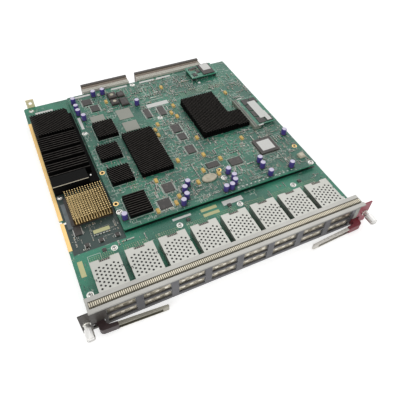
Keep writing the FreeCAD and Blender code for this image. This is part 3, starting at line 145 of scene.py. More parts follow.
# --------------------------------------------------------------- mesh building
def add_piece(name, shapes, finish, stands_for=(), smooth=False):
    """Object from one shape or a list of them; doubles are merged.

    A shape is its corners in mm and rows of four corner numbers.
    """
    verts, quads = join_shapes(shapes) if isinstance(shapes, list) else shapes
    verts = np.ascontiguousarray(verts, dtype=np.float64) / 1000
    quads = np.ascontiguousarray(quads, dtype=np.int64)
    _, first, point = np.unique(np.round(verts, 8), axis=0, return_index=True, return_inverse=True)
    verts = verts[first]
    quads = point.ravel()[quads]
    slim = quads[:, 2] == quads[:, 3]
    faces = [row[:3] if s else row for row, s in zip(quads.tolist(), slim)]
    mesh = bpy.data.meshes.new(name)
    mesh.from_pydata(verts.tolist(), [], faces)
    mesh.validate()
    mesh.polygons.foreach_set("use_smooth", np.full(len(mesh.polygons), smooth))
    mesh.materials.append(finish)
    obj = bpy.data.objects.new(name, mesh)
    bpy.context.scene.collection.objects.link(obj)
    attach(obj, CARD)
    if stands_for:
        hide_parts(*stands_for)


def join_shapes(shapes):
    """One (verts, quads) pair from several."""
    verts = [v for v, _ in shapes]
    starts = np.cumsum([0] + [len(v) for v in verts[:-1]])
    quads = [q + s for (_, q), s in zip(shapes, starts)]
    return np.concatenate(verts), np.concatenate(quads)


def at_height(xy, z):
    """Rows of X and Y with Z put after them; z is one number or one for each row."""
    xy = np.atleast_2d(np.asarray(xy, dtype=float))
    return np.hstack([xy, np.broadcast_to(np.reshape(z, (-1, 1)), (len(xy), 1))])


def ring_faces(rings):
    """Faces over a stack of four-cornered rings: four between neighbours, one on each end."""
    here = np.arange(4)
    after = (here + 1) % 4
    last = 4 * rings - 4
    sides = [np.stack([k + here, k + after, k + 4 + after, k + 4 + here], -1) for k in range(0, last, 4)]
    return np.concatenate(sides + [[[3, 2, 1, 0], [last, last + 1, last + 2, last + 3]]])


def for_each(faces, shapes, corners):
    """The same faces for every one of several shapes that have an equal number of corners."""
    return ((np.arange(shapes) * corners)[:, None, None] + faces[None]).reshape(-1, 4)


PLAIN = [(0, 0), (0, 1)]
SOFT = [(0, 0), (0, 0.88), (0.12, 1)]


def blocks(lows, highs, profile=PLAIN):
    """Blocks with plain, stepped or sloping sides, one for each pair of corners.

    profile is rows of (inset in mm, share of the height).  Ring k of a block is its
    footprint drawn in by inset k, at low z + share k of the height.
    """
    lows = np.atleast_2d(np.asarray(lows, dtype=float))
    highs = np.atleast_2d(np.asarray(highs, dtype=float))
    profile = np.asarray(profile, dtype=float)
    n, k = len(lows), len(profile)
    inset = profile[None, :, 0]
    x0, x1 = lows[:, :1] + inset, highs[:, :1] - inset
    y0, y1 = lows[:, 1:2] + inset, highs[:, 1:2] - inset
    z = lows[:, 2:3] + profile[None, :, 1] * (highs[:, 2:3] - lows[:, 2:3])
    rings = np.stack([np.stack([x0, y0, z], -1), np.stack([x1, y0, z], -1),
                      np.stack([x1, y1, z], -1), np.stack([x0, y1, z], -1)], axis=2)
    return rings.reshape(-1, 3), for_each(ring_faces(k), n, 4 * k)


def slab(xa, xb, y0, y1, z0, z1):
    """One plain block, whose two X values may come in either order."""
    return blocks([min(xa, xb), y0, z0], [max(xa, xb), y1, z1])


def turned(profile, centres, sides=20):
    """Turned shapes: a (radius, height) profile swept round the upright axis of each centre.

    Point (i, j) is centre + radius i times (cos a_j, sin a_j) + height i upwards, with
    a_j = 2 pi j / sides.  Ends with radius 0 close to a point.
    """
    profile = np.asarray(profile, dtype=float)
    centres = np.atleast_2d(np.asarray(centres, dtype=float))
    a = np.arange(sides) * 2 * math.pi / sides
    ring = np.zeros((len(profile), sides, 3))
    ring[..., 0] = profile[:, :1] * np.cos(a)
    ring[..., 1] = profile[:, :1] * np.sin(a)
    ring[..., 2] = profile[:, 1:2]
    verts = centres[:, None, None, :] + ring[None]
    j = np.arange(sides)
    after = (j + 1) % sides
    rows = np.arange(len(profile) - 1)[:, None] * sides
    face = np.stack([rows + j, rows + after, rows + sides + after, rows + sides + j], -1).reshape(-1, 4)
    face = np.where((profile[:-1, 0] == 0).repeat(sides)[:, None], face[:, [2, 3, 0, 0]], face)
    return verts.reshape(-1, 3), for_each(face, len(centres), len(profile) * sides)


def strip_grid(points):
    """Faces over a (rows, columns, 3) grid of points."""
    rows, cols = points.shape[:2]
    i, j = np.meshgrid(np.arange(rows - 1), np.arange(cols - 1), indexing="ij")
    k = (i * cols + j).ravel()
    return points.reshape(-1, 3), np.stack([k, k + 1, k + cols + 1, k + cols], -1)


# ----------------------------------------------------------------- materials
def feed(tree, socket, value):
    """Links an output to a socket, or sets the socket's own value."""
    if isinstance(value, bpy.types.NodeSocket):
        tree.links.new(value, socket)
    else:
        socket.default_value = value


def add_node(tree, kind, **values):
    """A node; a keyword that names an input feeds it, and any other sets an attribute."""
    node = tree.nodes.new(kind)
    for key, value in values.items():
        label = key.replace("_", " ")
        if label in node.inputs:
            feed(tree, node.inputs[label], value)
        else:
            setattr(node, key, value)
    return node


class Finish:
    """A procedural material under construction, with short ways to add nodes."""

    def __init__(self, name, color, rough, metal=0.0):
        self.material = bpy.data.materials.new(name)
        self.material.use_nodes = True
        self.tree = self.material.node_tree
        self.shader = self.tree.nodes["Principled BSDF"]
        self.place = self.add("ShaderNodeTexCoord").outputs["Object"]
        self.shade("Base Color", (*color, 1))
        self.shade("Roughness", rough)
        self.shade("Metallic", metal)

    def add(self, kind, **values):
        """A node in this finish."""
        return add_node(self.tree, kind, **values)

    def shade(self, label, value):
        """Feeds one input of the Principled shader."""
        feed(self.tree, self.shader.inputs[label], value)

    def noise(self, scale, detail=3.0, stretch=(1, 1, 1)):
        """Soft noise at a scale per metre."""
        moved = self.add("ShaderNodeMapping", Vector=self.place, Scale=stretch)
        return self.add("ShaderNodeTexNoise", Vector=moved.outputs[0], Scale=scale, Detail=detail).outputs[0]

    def step(self, value, low, high):
        """0 below low, 1 above high, with a smooth rise between."""
        return self.add("ShaderNodeMapRange", Value=value, From_Min=low, From_Max=high,
                        interpolation_type="SMOOTHSTEP").outputs[0]

    def maths(self, operation, a, b=0.0):
        """One arithmetic node."""
        node = self.add("ShaderNodeMath", operation=operation)
        feed(self.tree, node.inputs[0], a)
        feed(self.tree, node.inputs[1], b)
        return node.outputs[0]

    def times(self, a, b):
        """Product of two values."""
        return self.maths("MULTIPLY", a, b)

    def inverse(self, share):
        """1 less a share."""
        return self.maths("SUBTRACT", 1.0, share)

    def mix(self, share, a, b):
        """Colour between a and b."""
        node = self.add("ShaderNodeMix", data_type="RGBA")
        feed(self.tree, node.inputs[0], share)
        for socket, value in ((node.inputs[6], a), (node.inputs[7], b)):
            feed(self.tree, socket, (*value, 1) if isinstance(value, tuple) else value)
        return node.outputs[2]

    def red(self, color):
        """First channel of a colour."""
        return self.add("ShaderNodeSeparateColor", Color=color).outputs[0]

    def axis(self, number):
        """One coordinate in metres."""
        return self.add("ShaderNodeSeparateXYZ", Vector=self.place).outputs[number]

    def up(self):
        """How far a face looks up, from -1 to 1."""
        normal = self.add("ShaderNodeNewGeometry").outputs["Normal"]
        return self.add("ShaderNodeSeparateXYZ", Vector=normal).outputs[2]

    def color(self, value):
        """Base colour from a pattern."""
        self.shade("Base Color", value)

    def rough(self, pattern, spread, least):
        """Roughness that rises with a pattern: least + spread x pattern."""
        self.shade("Roughness", self.maths("ADD", self.times(pattern, spread), least))

    def bump(self, height, distance, strength=0.5):
        """Relief of a given depth in mm."""
        node = self.add("ShaderNodeBump", Height=height, Strength=strength, Distance=distance / 1000)
        self.shade("Normal", node.outputs[0])


def darker(color, share):
    """A colour with each channel multiplied by a share."""
    return tuple(c * share for c in color)


def brushed_metal(name, color, rough=0.35, along=(1, 30, 30), dark=0.8):
    """Metal with fine brush lines, faint clouding and a soft grain."""
    f = Finish(name, color, rough, 1.0)
    lines = f.noise(90, 4, along)
    clouds = f.noise(25, 2)
    f.color(f.mix(f.step(f.maths("ADD", lines, clouds), 0.8, 1.25), darker(color, dark), color))
    f.rough(lines, 0.2, rough - 0.1)
    f.bump(lines, 0.02, 0.25)
    return f.material


def moulded_plastic(name, color, rough=0.5, dark=0.75, shine=0.5):
    """Moulded plastic with a fine grain and slight mottling."""
    f = Finish(name, color, rough)
    f.shade("Specular IOR Level", shine)
    mottle = f.noise(120, 3)
    f.color(f.mix(f.step(mottle, 0.35, 0.7), darker(color, dark), color))
    f.rough(mottle, 0.2, rough - 0.1)
    f.bump(f.noise(700, 2), 0.03, 0.3)
    return f.material


def black_dye_finish():
    """Black dyed aluminium: upward faces at the top are painted a lighter brown-grey as lit, and the sides
    near black as painted shade between the fins.
    """
    f = Finish("black_dyed_sinks", (0.03, 0.027, 0.024), 0.6)
    f.shade("Specular IOR Level", 0.06)
    saw = f.noise(220, 3, (1, 9, 1))
    # painted highlight: lighter brown-grey for the upward tops
    top = f.mix(f.step(saw, 0.35, 0.7), (0.036, 0.033, 0.030), (0.092, 0.084, 0.076))
    # painted shade: near black for the sides between the fins
    shaded_flank = f.mix(saw, (0.0015, 0.0015, 0.0015), (0.004, 0.0035, 0.0035))
    # share painted as lit: faces that look up, above 12.5 mm
    lit_top_share = f.times(f.step(f.up(), 0.3, 0.7), f.step(f.axis(2), 0.0123, 0.0127))
    f.color(f.mix(lit_top_share, shaded_flank, top))
    f.rough(saw, 0.2, 0.5)
    f.bump(saw, 0.02, 0.3)
    return f.material


# Brick patterns of the boards: bricks per metre, joint, and brick width and height.
TRACKS = (900, 0.16, 4.2, 0.9)
PADS = (300, 0.24, 1.5, 0.7)
PRINT_LINES = (160, 0.08, 1.6, 1.0)
QUARTER_TURN = math.pi / 2


def board_finish(name, green, deep, busy, zones=()):
    """Circuit board: solder mask over tracks, plated holes, rows of pads and white print.

    Tracks are thin joints of two long brick patterns, one along X and one along Y, chosen
    patch by patch by a noise.  Holes are the middles of Voronoi cells.  Pads, print and
    small black bodies are bricks that drew a high or a low number, where a second noise
    is above busy.  A zone is a rectangle (x0, y0, x1, y1) in metres, its colour and how
    far that colour covers the pattern.  Side faces show the pale laminate.
    """
    f = Finish(name, green, 0.32)
    along_x = f.step(f.noise(34, 2), 0.47, 0.53)
    along_y = f.inverse(along_x)

    def bricks(turn, pattern):
        """Brick joints and one random colour for each brick."""
        scale, joint, width, height = pattern
        moved = f.add("ShaderNodeMapping", Vector=f.place, Rotation=(0, 0, turn))
        wall = f.add("ShaderNodeTexBrick", Vector=moved.outputs[0], Scale=scale, Mortar_Size=joint,
                     Brick_Width=width, Row_Height=height, offset=0.37,
                     Color1=(0, 0, 0, 1), Color2=(1, 1, 1, 1))
        return wall.outputs["Fac"], wall.outputs["Color"]

    def either(a, b):
        """a where the patches run along X, b where they run along Y."""
        return f.maths("ADD", f.times(a, along_x), f.times(b, along_y))

    line = either(bricks(0, TRACKS)[0], bricks(QUARTER_TURN, TRACKS)[0])
    mask = f.mix(f.step(f.noise(18, 3), 0.40, 0.62), deep, green)
    pale_line = tuple(min(1.0, c * 1.7 + 0.02) for c in green)
    mask = f.mix(f.times(line, 0.6), mask, pale_line)
    cells = f.add("ShaderNodeTexVoronoi", Vector=f.place, Scale=260.0, Randomness=0.75)
    ring = f.inverse(f.step(cells.outputs["Distance"], 0.13, 0.2))
    hole = f.inverse(f.step(cells.outputs["Distance"], 0.05, 0.08))
    mask = f.mix(f.times(ring, 0.35), mask, (0.40, 0.46, 0.36))
    mask = f.mix(hole, mask, (0.02, 0.04, 0.035))
    crowded = f.step(f.noise(48, 3), busy - 0.02, busy + 0.02)
    joint_x, drawn_x = bricks(0, PADS)
    joint_y, drawn_y = bricks(QUARTER_TURN, PADS)
    body = f.inverse(either(joint_x, joint_y))
    drawn = either(f.red(drawn_x), f.red(drawn_y))
    dark = f.times(f.inverse(f.step(drawn, 0.30, 0.32)), body)
    pale = f.times(f.step(drawn, 0.77, 0.79), body)
    print_lines = f.times(f.step(f.noise(60, 2), 0.50, 0.54), bricks(0, PRINT_LINES)[0])
    for pattern, strength, shade in ((dark, 0.9, (0.020, 0.028, 0.025)), (pale, 0.9, (0.54, 0.57, 0.50)),
                                     (print_lines, 0.5, (0.55, 0.62, 0.56))):
        mask = f.mix(f.times(f.times(pattern, crowded), strength), mask, shade)
    soft = 0.0003
    for (x0, y0, x1, y1), shade, strength in zones:
        inside = strength
        for number, start, end in ((0, x0, x1), (1, y0, y1)):
            inside = f.times(inside, f.step(f.axis(number), start - soft, start + soft))
            inside = f.times(inside, f.inverse(f.step(f.axis(number), end - soft, end + soft)))
        mask = f.mix(inside, mask, shade)
    flat = f.step(f.maths("ABSOLUTE", f.up()), 0.4, 0.6)
    edge = f.mix(f.noise(400, 2), (0.05, 0.32, 0.19), (0.10, 0.46, 0.29))
    f.color(f.mix(flat, edge, mask))
    f.rough(line, 0.15, 0.28)
    f.bump(f.maths("ADD", line, f.times(ring, 0.8)), 0.035, 0.6)
    return f.material


def sleeve_finish():
    """Can: purple sleeve round the side and a paler lid."""
    f = Finish("can_sleeve_and_lid", (0.12, 0.09, 0.42), 0.3)
    side = f.mix(f.noise(160, 2), (0.045, 0.028, 0.20), (0.11, 0.07, 0.38))
    lid = f.mix(f.noise(300, 2), (0.66, 0.60, 0.84), (0.80, 0.76, 0.92))
    f.color(f.mix(f.step(f.up(), 0.6, 0.8), side, lid))
    f.shade("Coat Weight", 0.3)
    f.bump(f.noise(500, 2), 0.02, 0.2)
    return f.material


def label_finish(name, color):
    """Blank paper label with a faint fibre."""
    f = Finish(name, color, 0.55)
    fibre = f.noise(900, 3)
    f.color(f.mix(f.step(fibre, 0.3, 0.7), darker(color, 0.93), color))
    f.bump(fibre, 0.01, 0.3)
    return f.material


def chip_finish():
    """Black moulded packages, a little dusty, some greyer than others."""
    f = Finish("chip_package", (0.03, 0.03, 0.033), 0.5)
    cells = f.add("ShaderNodeTexVoronoi", Vector=f.place, Scale=40.0)
    dust = f.noise(260, 4)
    base = f.mix(f.red(cells.outputs["Color"]), (0.026, 0.023, 0.021), (0.070, 0.062, 0.056))
    f.color(f.mix(f.step(dust, 0.5, 0.85), base, (0.13, 0.115, 0.105)))
    f.rough(dust, 0.3, 0.32)
    f.bump(f.noise(1500, 2), 0.02, 0.35)
    return f.material


def panel_finish():
    """Dark grey paint with a fine orange peel; brown-black left end, crimson right end."""
    f = Finish("panel_paint", (0.12, 0.12, 0.13), 0.4)
    fade = f.noise(14, 3)
    clouds = f.step(fade, 0.35, 0.7)
    x = f.axis(0)
    low, high = span_of("front_panel")
    brown_end = low[0] / 1000 + 0.028
    ear = (high[0] - EAR_WIDTH) / 1000
    grey = f.mix(clouds, (0.095, 0.095, 0.105), (0.135, 0.135, 0.148))
    brown = f.mix(clouds, (0.032, 0.028, 0.024), (0.055, 0.048, 0.042))
    paint = f.mix(f.step(x, brown_end, brown_end + 0.012), brown, grey)
    f.color(f.mix(f.step(x, ear, ear + 0.0004), paint, (0.30, 0.028, 0.055)))
    f.rough(fade, 0.15, 0.32)
    f.bump(f.noise(900, 2), 0.03, 0.4)
    return f.material


def door_finish():
    """Sprung steel flap: pressed dimples painted near white as highlights, on a dulled olive-brown plate."""
    f = Finish("door_steel", (0.30, 0.27, 0.20), 0.34, 0.85)
    face = span_of("upper_door_1")[0][1] / 1000
    dimple_highlight = f.inverse(f.step(f.axis(1), face + 0.0001, face + 0.0002))
    stain = f.noise(300, 4, (0.45, 1, 2))
    plate = f.mix(f.step(stain, 0.36, 0.62), (0.21, 0.19, 0.145), (0.60, 0.55, 0.44))
    # painted highlight: near white on the dimples that stand forward of the plate
    bright = f.mix(stain, (0.74, 0.69, 0.57), (0.98, 0.94, 0.84))
    f.color(f.mix(dimple_highlight, plate, bright))
    f.bump(stain, 0.03, 0.3)
    return f.material


def gold_sink_finish():
    """Gold dyed aluminium: upward tips painted pale as lit, and the sides painted dark brown as the shade
    between the pins.
    """
    f = Finish("gold_dyed_pins", (0.6, 0.42, 0.2), 0.36, 0.85)
    # painted shade: dark brown on the sides of the pins
    shaded_flank = f.mix(f.noise(300, 3), (0.10, 0.055, 0.018), (0.30, 0.18, 0.06))
    # painted highlight: pale gold on the upward tips
    top = f.mix(f.noise(500, 2), (0.93, 0.68, 0.30), (1.0, 0.80, 0.42))
    f.color(f.mix(f.step(f.up(), 0.3, 0.7), shaded_flank, top))
    return f.material


def housing_finish():
    """Backplane connector: cream body, mauve band, pale band, brown-black rear hood, ribs."""
    f = Finish("connector_housing", (0.5, 0.45, 0.36), 0.5)
    y = f.axis(1)
    board_rear = span_of("main_board")[1][1] / 1000
    color = f.mix(f.step(f.noise(500, 3), 0.3, 0.7), (0.60, 0.58, 0.50), (0.76, 0.74, 0.66))
    for behind, shade in ((0.0008, (0.28, 0.20, 0.17)), (0.0034, (0.44, 0.38, 0.31)),
                          (0.0062, (0.05, 0.042, 0.038))):
        color = f.mix(f.step(y, board_rear + behind, board_rear + behind + 0.0003), color, shade)
    ribs = f.add("ShaderNodeTexWave", Vector=f.place, Scale=160.0, bands_direction="X").outputs["Fac"]
    f.color(f.mix(f.times(f.step(ribs, 0.6, 0.9), 0.35), color, (0.12, 0.10, 0.085)))
    f.bump(ribs, 0.15, 0.4)
    return f.material


def small_part_finish():
    """Tiny chip parts: each cell of a fine Voronoi picks black, tan, grey or brown."""
    f = Finish("small_chip_parts", (0.3, 0.25, 0.2), 0.45)
    cells = f.add("ShaderNodeTexVoronoi", Vector=f.place, Scale=260.0)
    pick = f.red(cells.outputs["Color"])
    color = (0.020, 0.020, 0.021)
    for share, shade in ((0.55, (0.30, 0.23, 0.15)), (0.72, (0.58, 0.58, 0.53)),
                         (0.86, (0.05, 0.045, 0.042))):
        color = f.mix(f.step(pick, share, share + 0.01), color, shade)
    f.color(color)
    return f.material


def main_painted_shade_zones():
    """Places of the main board painted darker as shade: the painted shadow under the daughter board, and a
    slate-green patch of painted shade left of it, in front of the left sink.
    """
    low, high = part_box("daughter_board")
    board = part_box("main_board")
    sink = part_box("regulator_heat_sink")
    inset, shade_left, shade_front = 0.0005, board[0][0] + 0.004, 0.088
    # painted shadow: near black under the daughter board
    return [((low[0] + inset, low[1] + 0.0004, high[0] - inset, high[1]), (0.008, 0.014, 0.012), 0.95),
            # painted shade: slate-green patch left of the daughter board, in front of the left sink
            ((shade_left, shade_front, low[0], sink[0][1]), (0.026, 0.042, 0.042), 0.93)]


board_main = board_finish("main_board_mask", (0.032, 0.225, 0.140), (0.012, 0.090, 0.062), 0.60,
                          main_painted_shade_zones())
board_upper = board_finish("daughter_board_mask", (0.026, 0.180, 0.112), (0.010, 0.070, 0.050), 0.46)
memory_green = board_finish("plug_in_mask", (0.06, 0.26, 0.17), (0.03, 0.15, 0.10), 0.5)
steel_cage = brushed_metal("cage_steel", (0.50, 0.50, 0.465), 0.55, (30, 1, 30), 0.93)
steel_bright = brushed_metal("bright_lip_steel", (0.41, 0.405, 0.38), 0.46, (1, 30, 30), 0.88)
steel_gasket = brushed_metal("gasket_strip", (0.64, 0.59, 0.47), 0.38, (30, 1, 30), 0.82)
# painted shade: the left arm is a darker copy of the right arm's steel
steel_arm = brushed_metal("lever_arm_steel", (0.38, 0.365, 0.31), 0.34, (1, 30, 30), 0.75)
steel_arm_right = brushed_metal("right_lever_arm_steel", (0.60, 0.58, 0.54), 0.4, (1, 30, 30), 0.8)
solder_ends = brushed_metal("solder_ends", (0.56, 0.57, 0.52), 0.45, (4, 4, 4), 0.8)
tin = brushed_metal("tinned_leads", (0.78, 0.77, 0.73), 0.34, (4, 4, 4), 0.82)
gold_plate = brushed_metal("gold_plated_edge", (0.86, 0.60, 0.26), 0.42, (30, 1, 30), 0.9)
knob_metal = brushed_metal("knob_metal", (0.84, 0.83, 0.81), 0.42, (30, 1, 30), 0.86)
steel_door = door_finish()
black_dye = black_dye_finish()
paint_panel = panel_finish()
chip_black = chip_finish()
sleeve = sleeve_finish()
tantalum = moulded_plastic("tantalum_yellow", (0.78, 0.52, 0.14), 0.42, 0.85)
# painted shade: the left cam is a darker copy of the right cam's crimson plastic
cam_plastic = moulded_plastic("cam_plastic", (0.036, 0.018, 0.019), 0.4)
cam_plastic_right = moulded_plastic("cam_plastic_right", (0.20, 0.017, 0.030), 0.4)
flat_black = moulded_plastic("flat_black_block", (0.005, 0.005, 0.005), 0.6, shine=0.08)
pad_green = moulded_plastic("pale_green_pads", (0.36, 0.50, 0.26), 0.4)
ledge_grey = moulded_plastic("grey_ledge", (0.17, 0.20, 0.215), 0.45)
# real socket plastic, also used for painted shade: sheets under the cover holes, screw recesses, the socket
# groove and the block under the plug-in board
dark_plastic_and_shade = moulded_plastic("dark_plastic_and_painted_shade", (0.028, 0.028, 0.03), 0.45)
comb_plastic = moulded_plastic("comb_plastic", (0.065, 0.055, 0.048), 0.5)
comb_tin = moulded_plastic("comb_teeth", (0.34, 0.31, 0.26), 0.45)
block_brown = moulded_plastic("power_block_brown", (0.050, 0.040, 0.036), 0.5)
cream_plastic = moulded_plastic("cream_plastic", (0.74, 0.68, 0.54), 0.5, 0.9)
core_cream = moulded_plastic("inductor_core", (0.66, 0.60, 0.46), 0.6, 0.8)
socket_grey = moulded_plastic("memory_socket", (0.30, 0.33, 0.27), 0.5, 0.6)
gasket_shadow = moulded_plastic("gasket_shadow_bed", (0.07, 0.06, 0.035), 0.6)
tray_paint = brushed_metal("yellow_chromate", (0.72, 0.58, 0.30), 0.4, (3, 3, 3), 0.85)
tab_paint = moulded_plastic("pale_yellow_tab", (1.0, 0.86, 0.56), 0.45, 0.97)
label_white = label_finish("blank_white_label", (0.80, 0.80, 0.77))
label_pale = label_finish("pale_ear_label", (0.42, 0.44, 0.40))
label_yellow = label_finish("blank_yellow_label", (0.66, 0.65, 0.34))
print_white = label_finish("white_board_print", (0.82, 0.84, 0.78))
pad_grey = label_finish("grey_thermal_pad", (0.37, 0.38, 0.33))
small_parts = small_part_finish()
housing_beige = housing_finish()
gold_dye = gold_sink_finish()


def give(finish, *names):
    """Puts one finish on CAD nodes."""
    for name in names:
        mesh = nodes[name].data
        mesh.materials.clear()
        mesh.materials.append(finish)


give(paint_panel, "front_panel")
give(steel_bright, "top_lip", "lever_brackets", "lever_pins")
give(board_main, "main_board")
give(board_upper, "daughter_board")
give(gold_plate, "edge_contact_strips")
give(tray_paint, "carrier_tray")
give(tab_paint, "guide_tab")
give(tin, "tray_posts", "daughter_standoffs", "screw_springs", "screw_ferrules",
     "left_retaining_ring", "right_retaining_ring")
give(steel_cage, "upper_cage_frames", "lower_cage_frames", "lower_cage_covers")
give(dark_plastic_and_shade, "upper_module_sockets", "lower_module_sockets")
give(cam_plastic, "left_lever_cam")
give(cam_plastic_right, "right_lever_cam")
give(steel_arm, "left_lever_arm")
give(steel_arm_right, "right_lever_arm")
give(knob_metal, "left_thumbscrew", "right_thumbscrew")
give(chip_black, "main_chips", "daughter_chips")
give(tantalum, "tantalum_capacitors")
give(housing_beige, "left_backplane_connector", "right_backplane_connector")
give(steel_door, *[n for n in nodes if "_door_" in n])


# ------------------------------------------------------------------ heat sinks
def base_plate(low, high, base):
    """The plate that a sink's pins or fins stand on."""
    return blocks(low, [high[0], high[1], low[2] + base], SOFT)


def pin_rows(low, high, pitch, gap, base, profile):
    """Pins of one profile, one on each crossing of an even grid."""
    size = high[:2] - low[:2]
    count = np.maximum(2, np.round((size + gap) / pitch)).astype(int)
    pin = (size - (count - 1) * gap) / count
    i, j = np.meshgrid(np.arange(count[0]), np.arange(count[1]), indexing="ij")
    start = low[:2] + np.stack([i.ravel(), j.ravel()], -1) * (pin + gap)
    return blocks(at_height(start, low[2] + base), at_height(start + pin, high[2]), profile)


def fin_rows(low, high, pitch, gap, base, left_out=()):
    """Straight fins along X, with some of them left out."""
    size = high[1] - low[1]
    count = max(2, int(round((size + gap) / pitch)))
    fin = (size - (count - 1) * gap) / count
    start = low[1] + np.delete(np.arange(count), left_out) * (fin + gap)
    lows = np.tile([low[0], low[1], low[2] + base], (len(start), 1))
    highs = np.tile(np.asarray(high, dtype=float), (len(start), 1))
    lows[:, 1] = start
    highs[:, 1] = start + fin
    return blocks(lows, highs, [(0, 0), (0, 0.96), (0.15, 1)])


def slant_fins(low, high, base):
    """Fins leaning across a block, cut off flush with its four sides.

    An edge line with number e runs along x = e + lean (y_high - y).  It enters the block
    at y_in = max(y_low, y_high - (x_high - e) / lean) and leaves it at
    y_out = min(y_high, y_high - (x_low - e) / lean).  Fin k stands between the edge lines
    c_k and c_k plus one saw width; a fin shorter than 1 mm is left out.  Each fin is
    three rings of four corners, the top one drawn 2% towards the fin's middle.
    """
    x0, y0, x1, y1 = low[0], low[1], high[0], high[1]
    shortest, rounding, drawn_in = 1.0, 0.2, 0.02
    c = np.arange(x0 - SAW_LEAN * (y1 - y0) - SAW_PITCH, x1, SAW_PITCH)
    e = np.stack([c, c + SAW_WIDTH], -1)
    y_in = np.maximum(y0, y1 - (x1 - e) / SAW_LEAN)
    y_out = np.minimum(y1, y1 - (x0 - e) / SAW_LEAN)
    keep = np.all(y_out - y_in > shortest, axis=1)
    y = np.concatenate([y_in, y_out[:, ::-1]], -1)[keep]
    foot = np.stack([np.concatenate([e, e[:, ::-1]], -1)[keep] + SAW_LEAN * (y1 - y), y], -1)
    drawn = foot + drawn_in * (foot.mean(axis=1, keepdims=True) - foot)
    levels = [(foot, low[2] + base), (foot, high[2] - rounding), (drawn, high[2])]
    rings = np.stack([np.concatenate([f, np.full(f.shape[:2] + (1,), z)], -1) for f, z in levels], axis=1)
    return rings.reshape(-1, 3), for_each(ring_faces(3), len(rings), 12)


def black_sinks():
    """Sinks with leaning saw cuts on the daughter board; the frontmost small one has straight fins."""
    for node, name, base in (("small_heat_sinks", "small_black_sinks", 1.6),
                             ("long_heat_sink", "long_black_sink", 1.8),
                             ("large_heat_sink", "large_black_sink", 2.0)):
        lows, highs = solids_of(node)
        straight = int(np.argmin(lows[:, 1])) if node == "small_heat_sinks" else None
        shapes = []
        for i, (low, high) in enumerate(zip(lows, highs)):
            shapes.append(base_plate(low, high, base))
            if i == straight:
                shapes.append(fin_rows(low, high, STRAIGHT_PITCH, STRAIGHT_GAP, base))
            else:
                shapes.append(slant_fins(low, high, base))
        add_piece(name, shapes, black_dye, stands_for=[node])


def left_sinks():
    """Long sink at the left edge: flat block, straight ridges, leaning fins, and a shelf beside them."""
    low, high = span_of("regulator_heat_sink")
    x0, y0, z0 = low
    top = high[2]
    shelf_width, base, step = 5.6, 3.4, 8.0
    right = high[0] - shelf_width
    shelf, ridges_end, fins_start = y0 + 22.0, y0 + 107.0, y0 + 114.0
    shapes = [base_plate(low, high, base),
              blocks([right - step, y0, z0 + base], [right, shelf - 4, z0 + 2 * base], SOFT)]
    block = blocks([x0, y0, z0 + base], [right - step, shelf - 1.2, top], SOFT)
    add_piece("left_sink_front_block", block, flat_black)
    shapes.append(fin_rows(np.array([x0, shelf, z0]), np.array([right, ridges_end, top]), RIDGE_PITCH,
                           RIDGE_GAP, base, RIDGES_LEFT_OUT))
    shapes.append(slant_fins(np.array([x0, fins_start, z0]), np.array([right, high[1], top]), base))
    add_piece("left_black_sink", shapes, black_dye, stands_for=["regulator_heat_sink"])
    # painted highlight: a thin cream strip along the black block's front top edge
    edge = blocks([x0 + 0.4, y0 + 0.2, top + LIFT], [right - step - 0.4, y0 + 1.3, top + 0.12])
    add_piece("shelf_edge_highlight", edge, core_cream)
    dome = [(0, 0), (1.9, 0), (1.9, 0.5), (1.5, 1.2), (0.8, 1.6), (0, 1.75)]
    centre = [right - step / 2, y0 + 12.8, z0 + 2 * base]
    add_piece("shelf_rivet", turned(dome, centre, sides=18), tin, smooth=True)


def gold_sink():
    """Gold sink of square pins that narrow towards their tips."""
    low, high = span_of("gold_heat_sink")
    base = 2.2
    pins = pin_rows(low, high, GOLD_PITCH, GOLD_PITCH - GOLD_PIN, base, [(0, 0), (0.15, 0.85), (0.45, 1)])
    add_piece("gold_pin_sink", [base_plate(low, high, base), pins], gold_dye,
              stands_for=["gold_heat_sink"])


black_sinks()
left_sinks()
gold_sink()


# ------------------------------------------------------------ cages and gasket
def pierced_cell(cx, cy, z0, z1, sides=12):
    """One cell of punched sheet: a rectangle with a round hole, top, bottom and wall.

    Point (i, j) lies at angle a_j.  Ring 0 is the rectangle, where the ray at a_j meets
    it: r = min(width / 2 |cos a|, depth / 2 |sin a|); rings 1 and 2 are the hole's upper
    and lower edge, and ring 3 is the rectangle again, on the underside.
    """
    width, depth = HOLE_PITCH
    a = (np.arange(sides) + 0.5) * 2 * math.pi / sides
    corner = math.atan2(depth, width)
    for k in (corner, math.pi - corner, math.pi + corner, 2 * math.pi - corner):
        a[np.argmin(np.abs(a - k))] = k
    c, s = np.cos(a), np.sin(a)
    reach = np.minimum(width / 2 / np.maximum(np.abs(c), 1e-9), depth / 2 / np.maximum(np.abs(s), 1e-9))
    rings = []
    for r, z in ((reach, z1), (HOLE_RADIUS, z1), (HOLE_RADIUS, z0), (reach, z0)):
        rings.append(np.stack([cx + r * c, cy + r * s, np.full(sides, z)], -1))
    j = np.arange(sides)
    after = (j + 1) % sides
    quads = [np.stack([i * sides + j, i * sides + after, (i + 1) * sides + after, (i + 1) * sides + j], -1)
             for i in range(3)]
    return np.concatenate(rings), np.concatenate(quads)[:, ::-1]


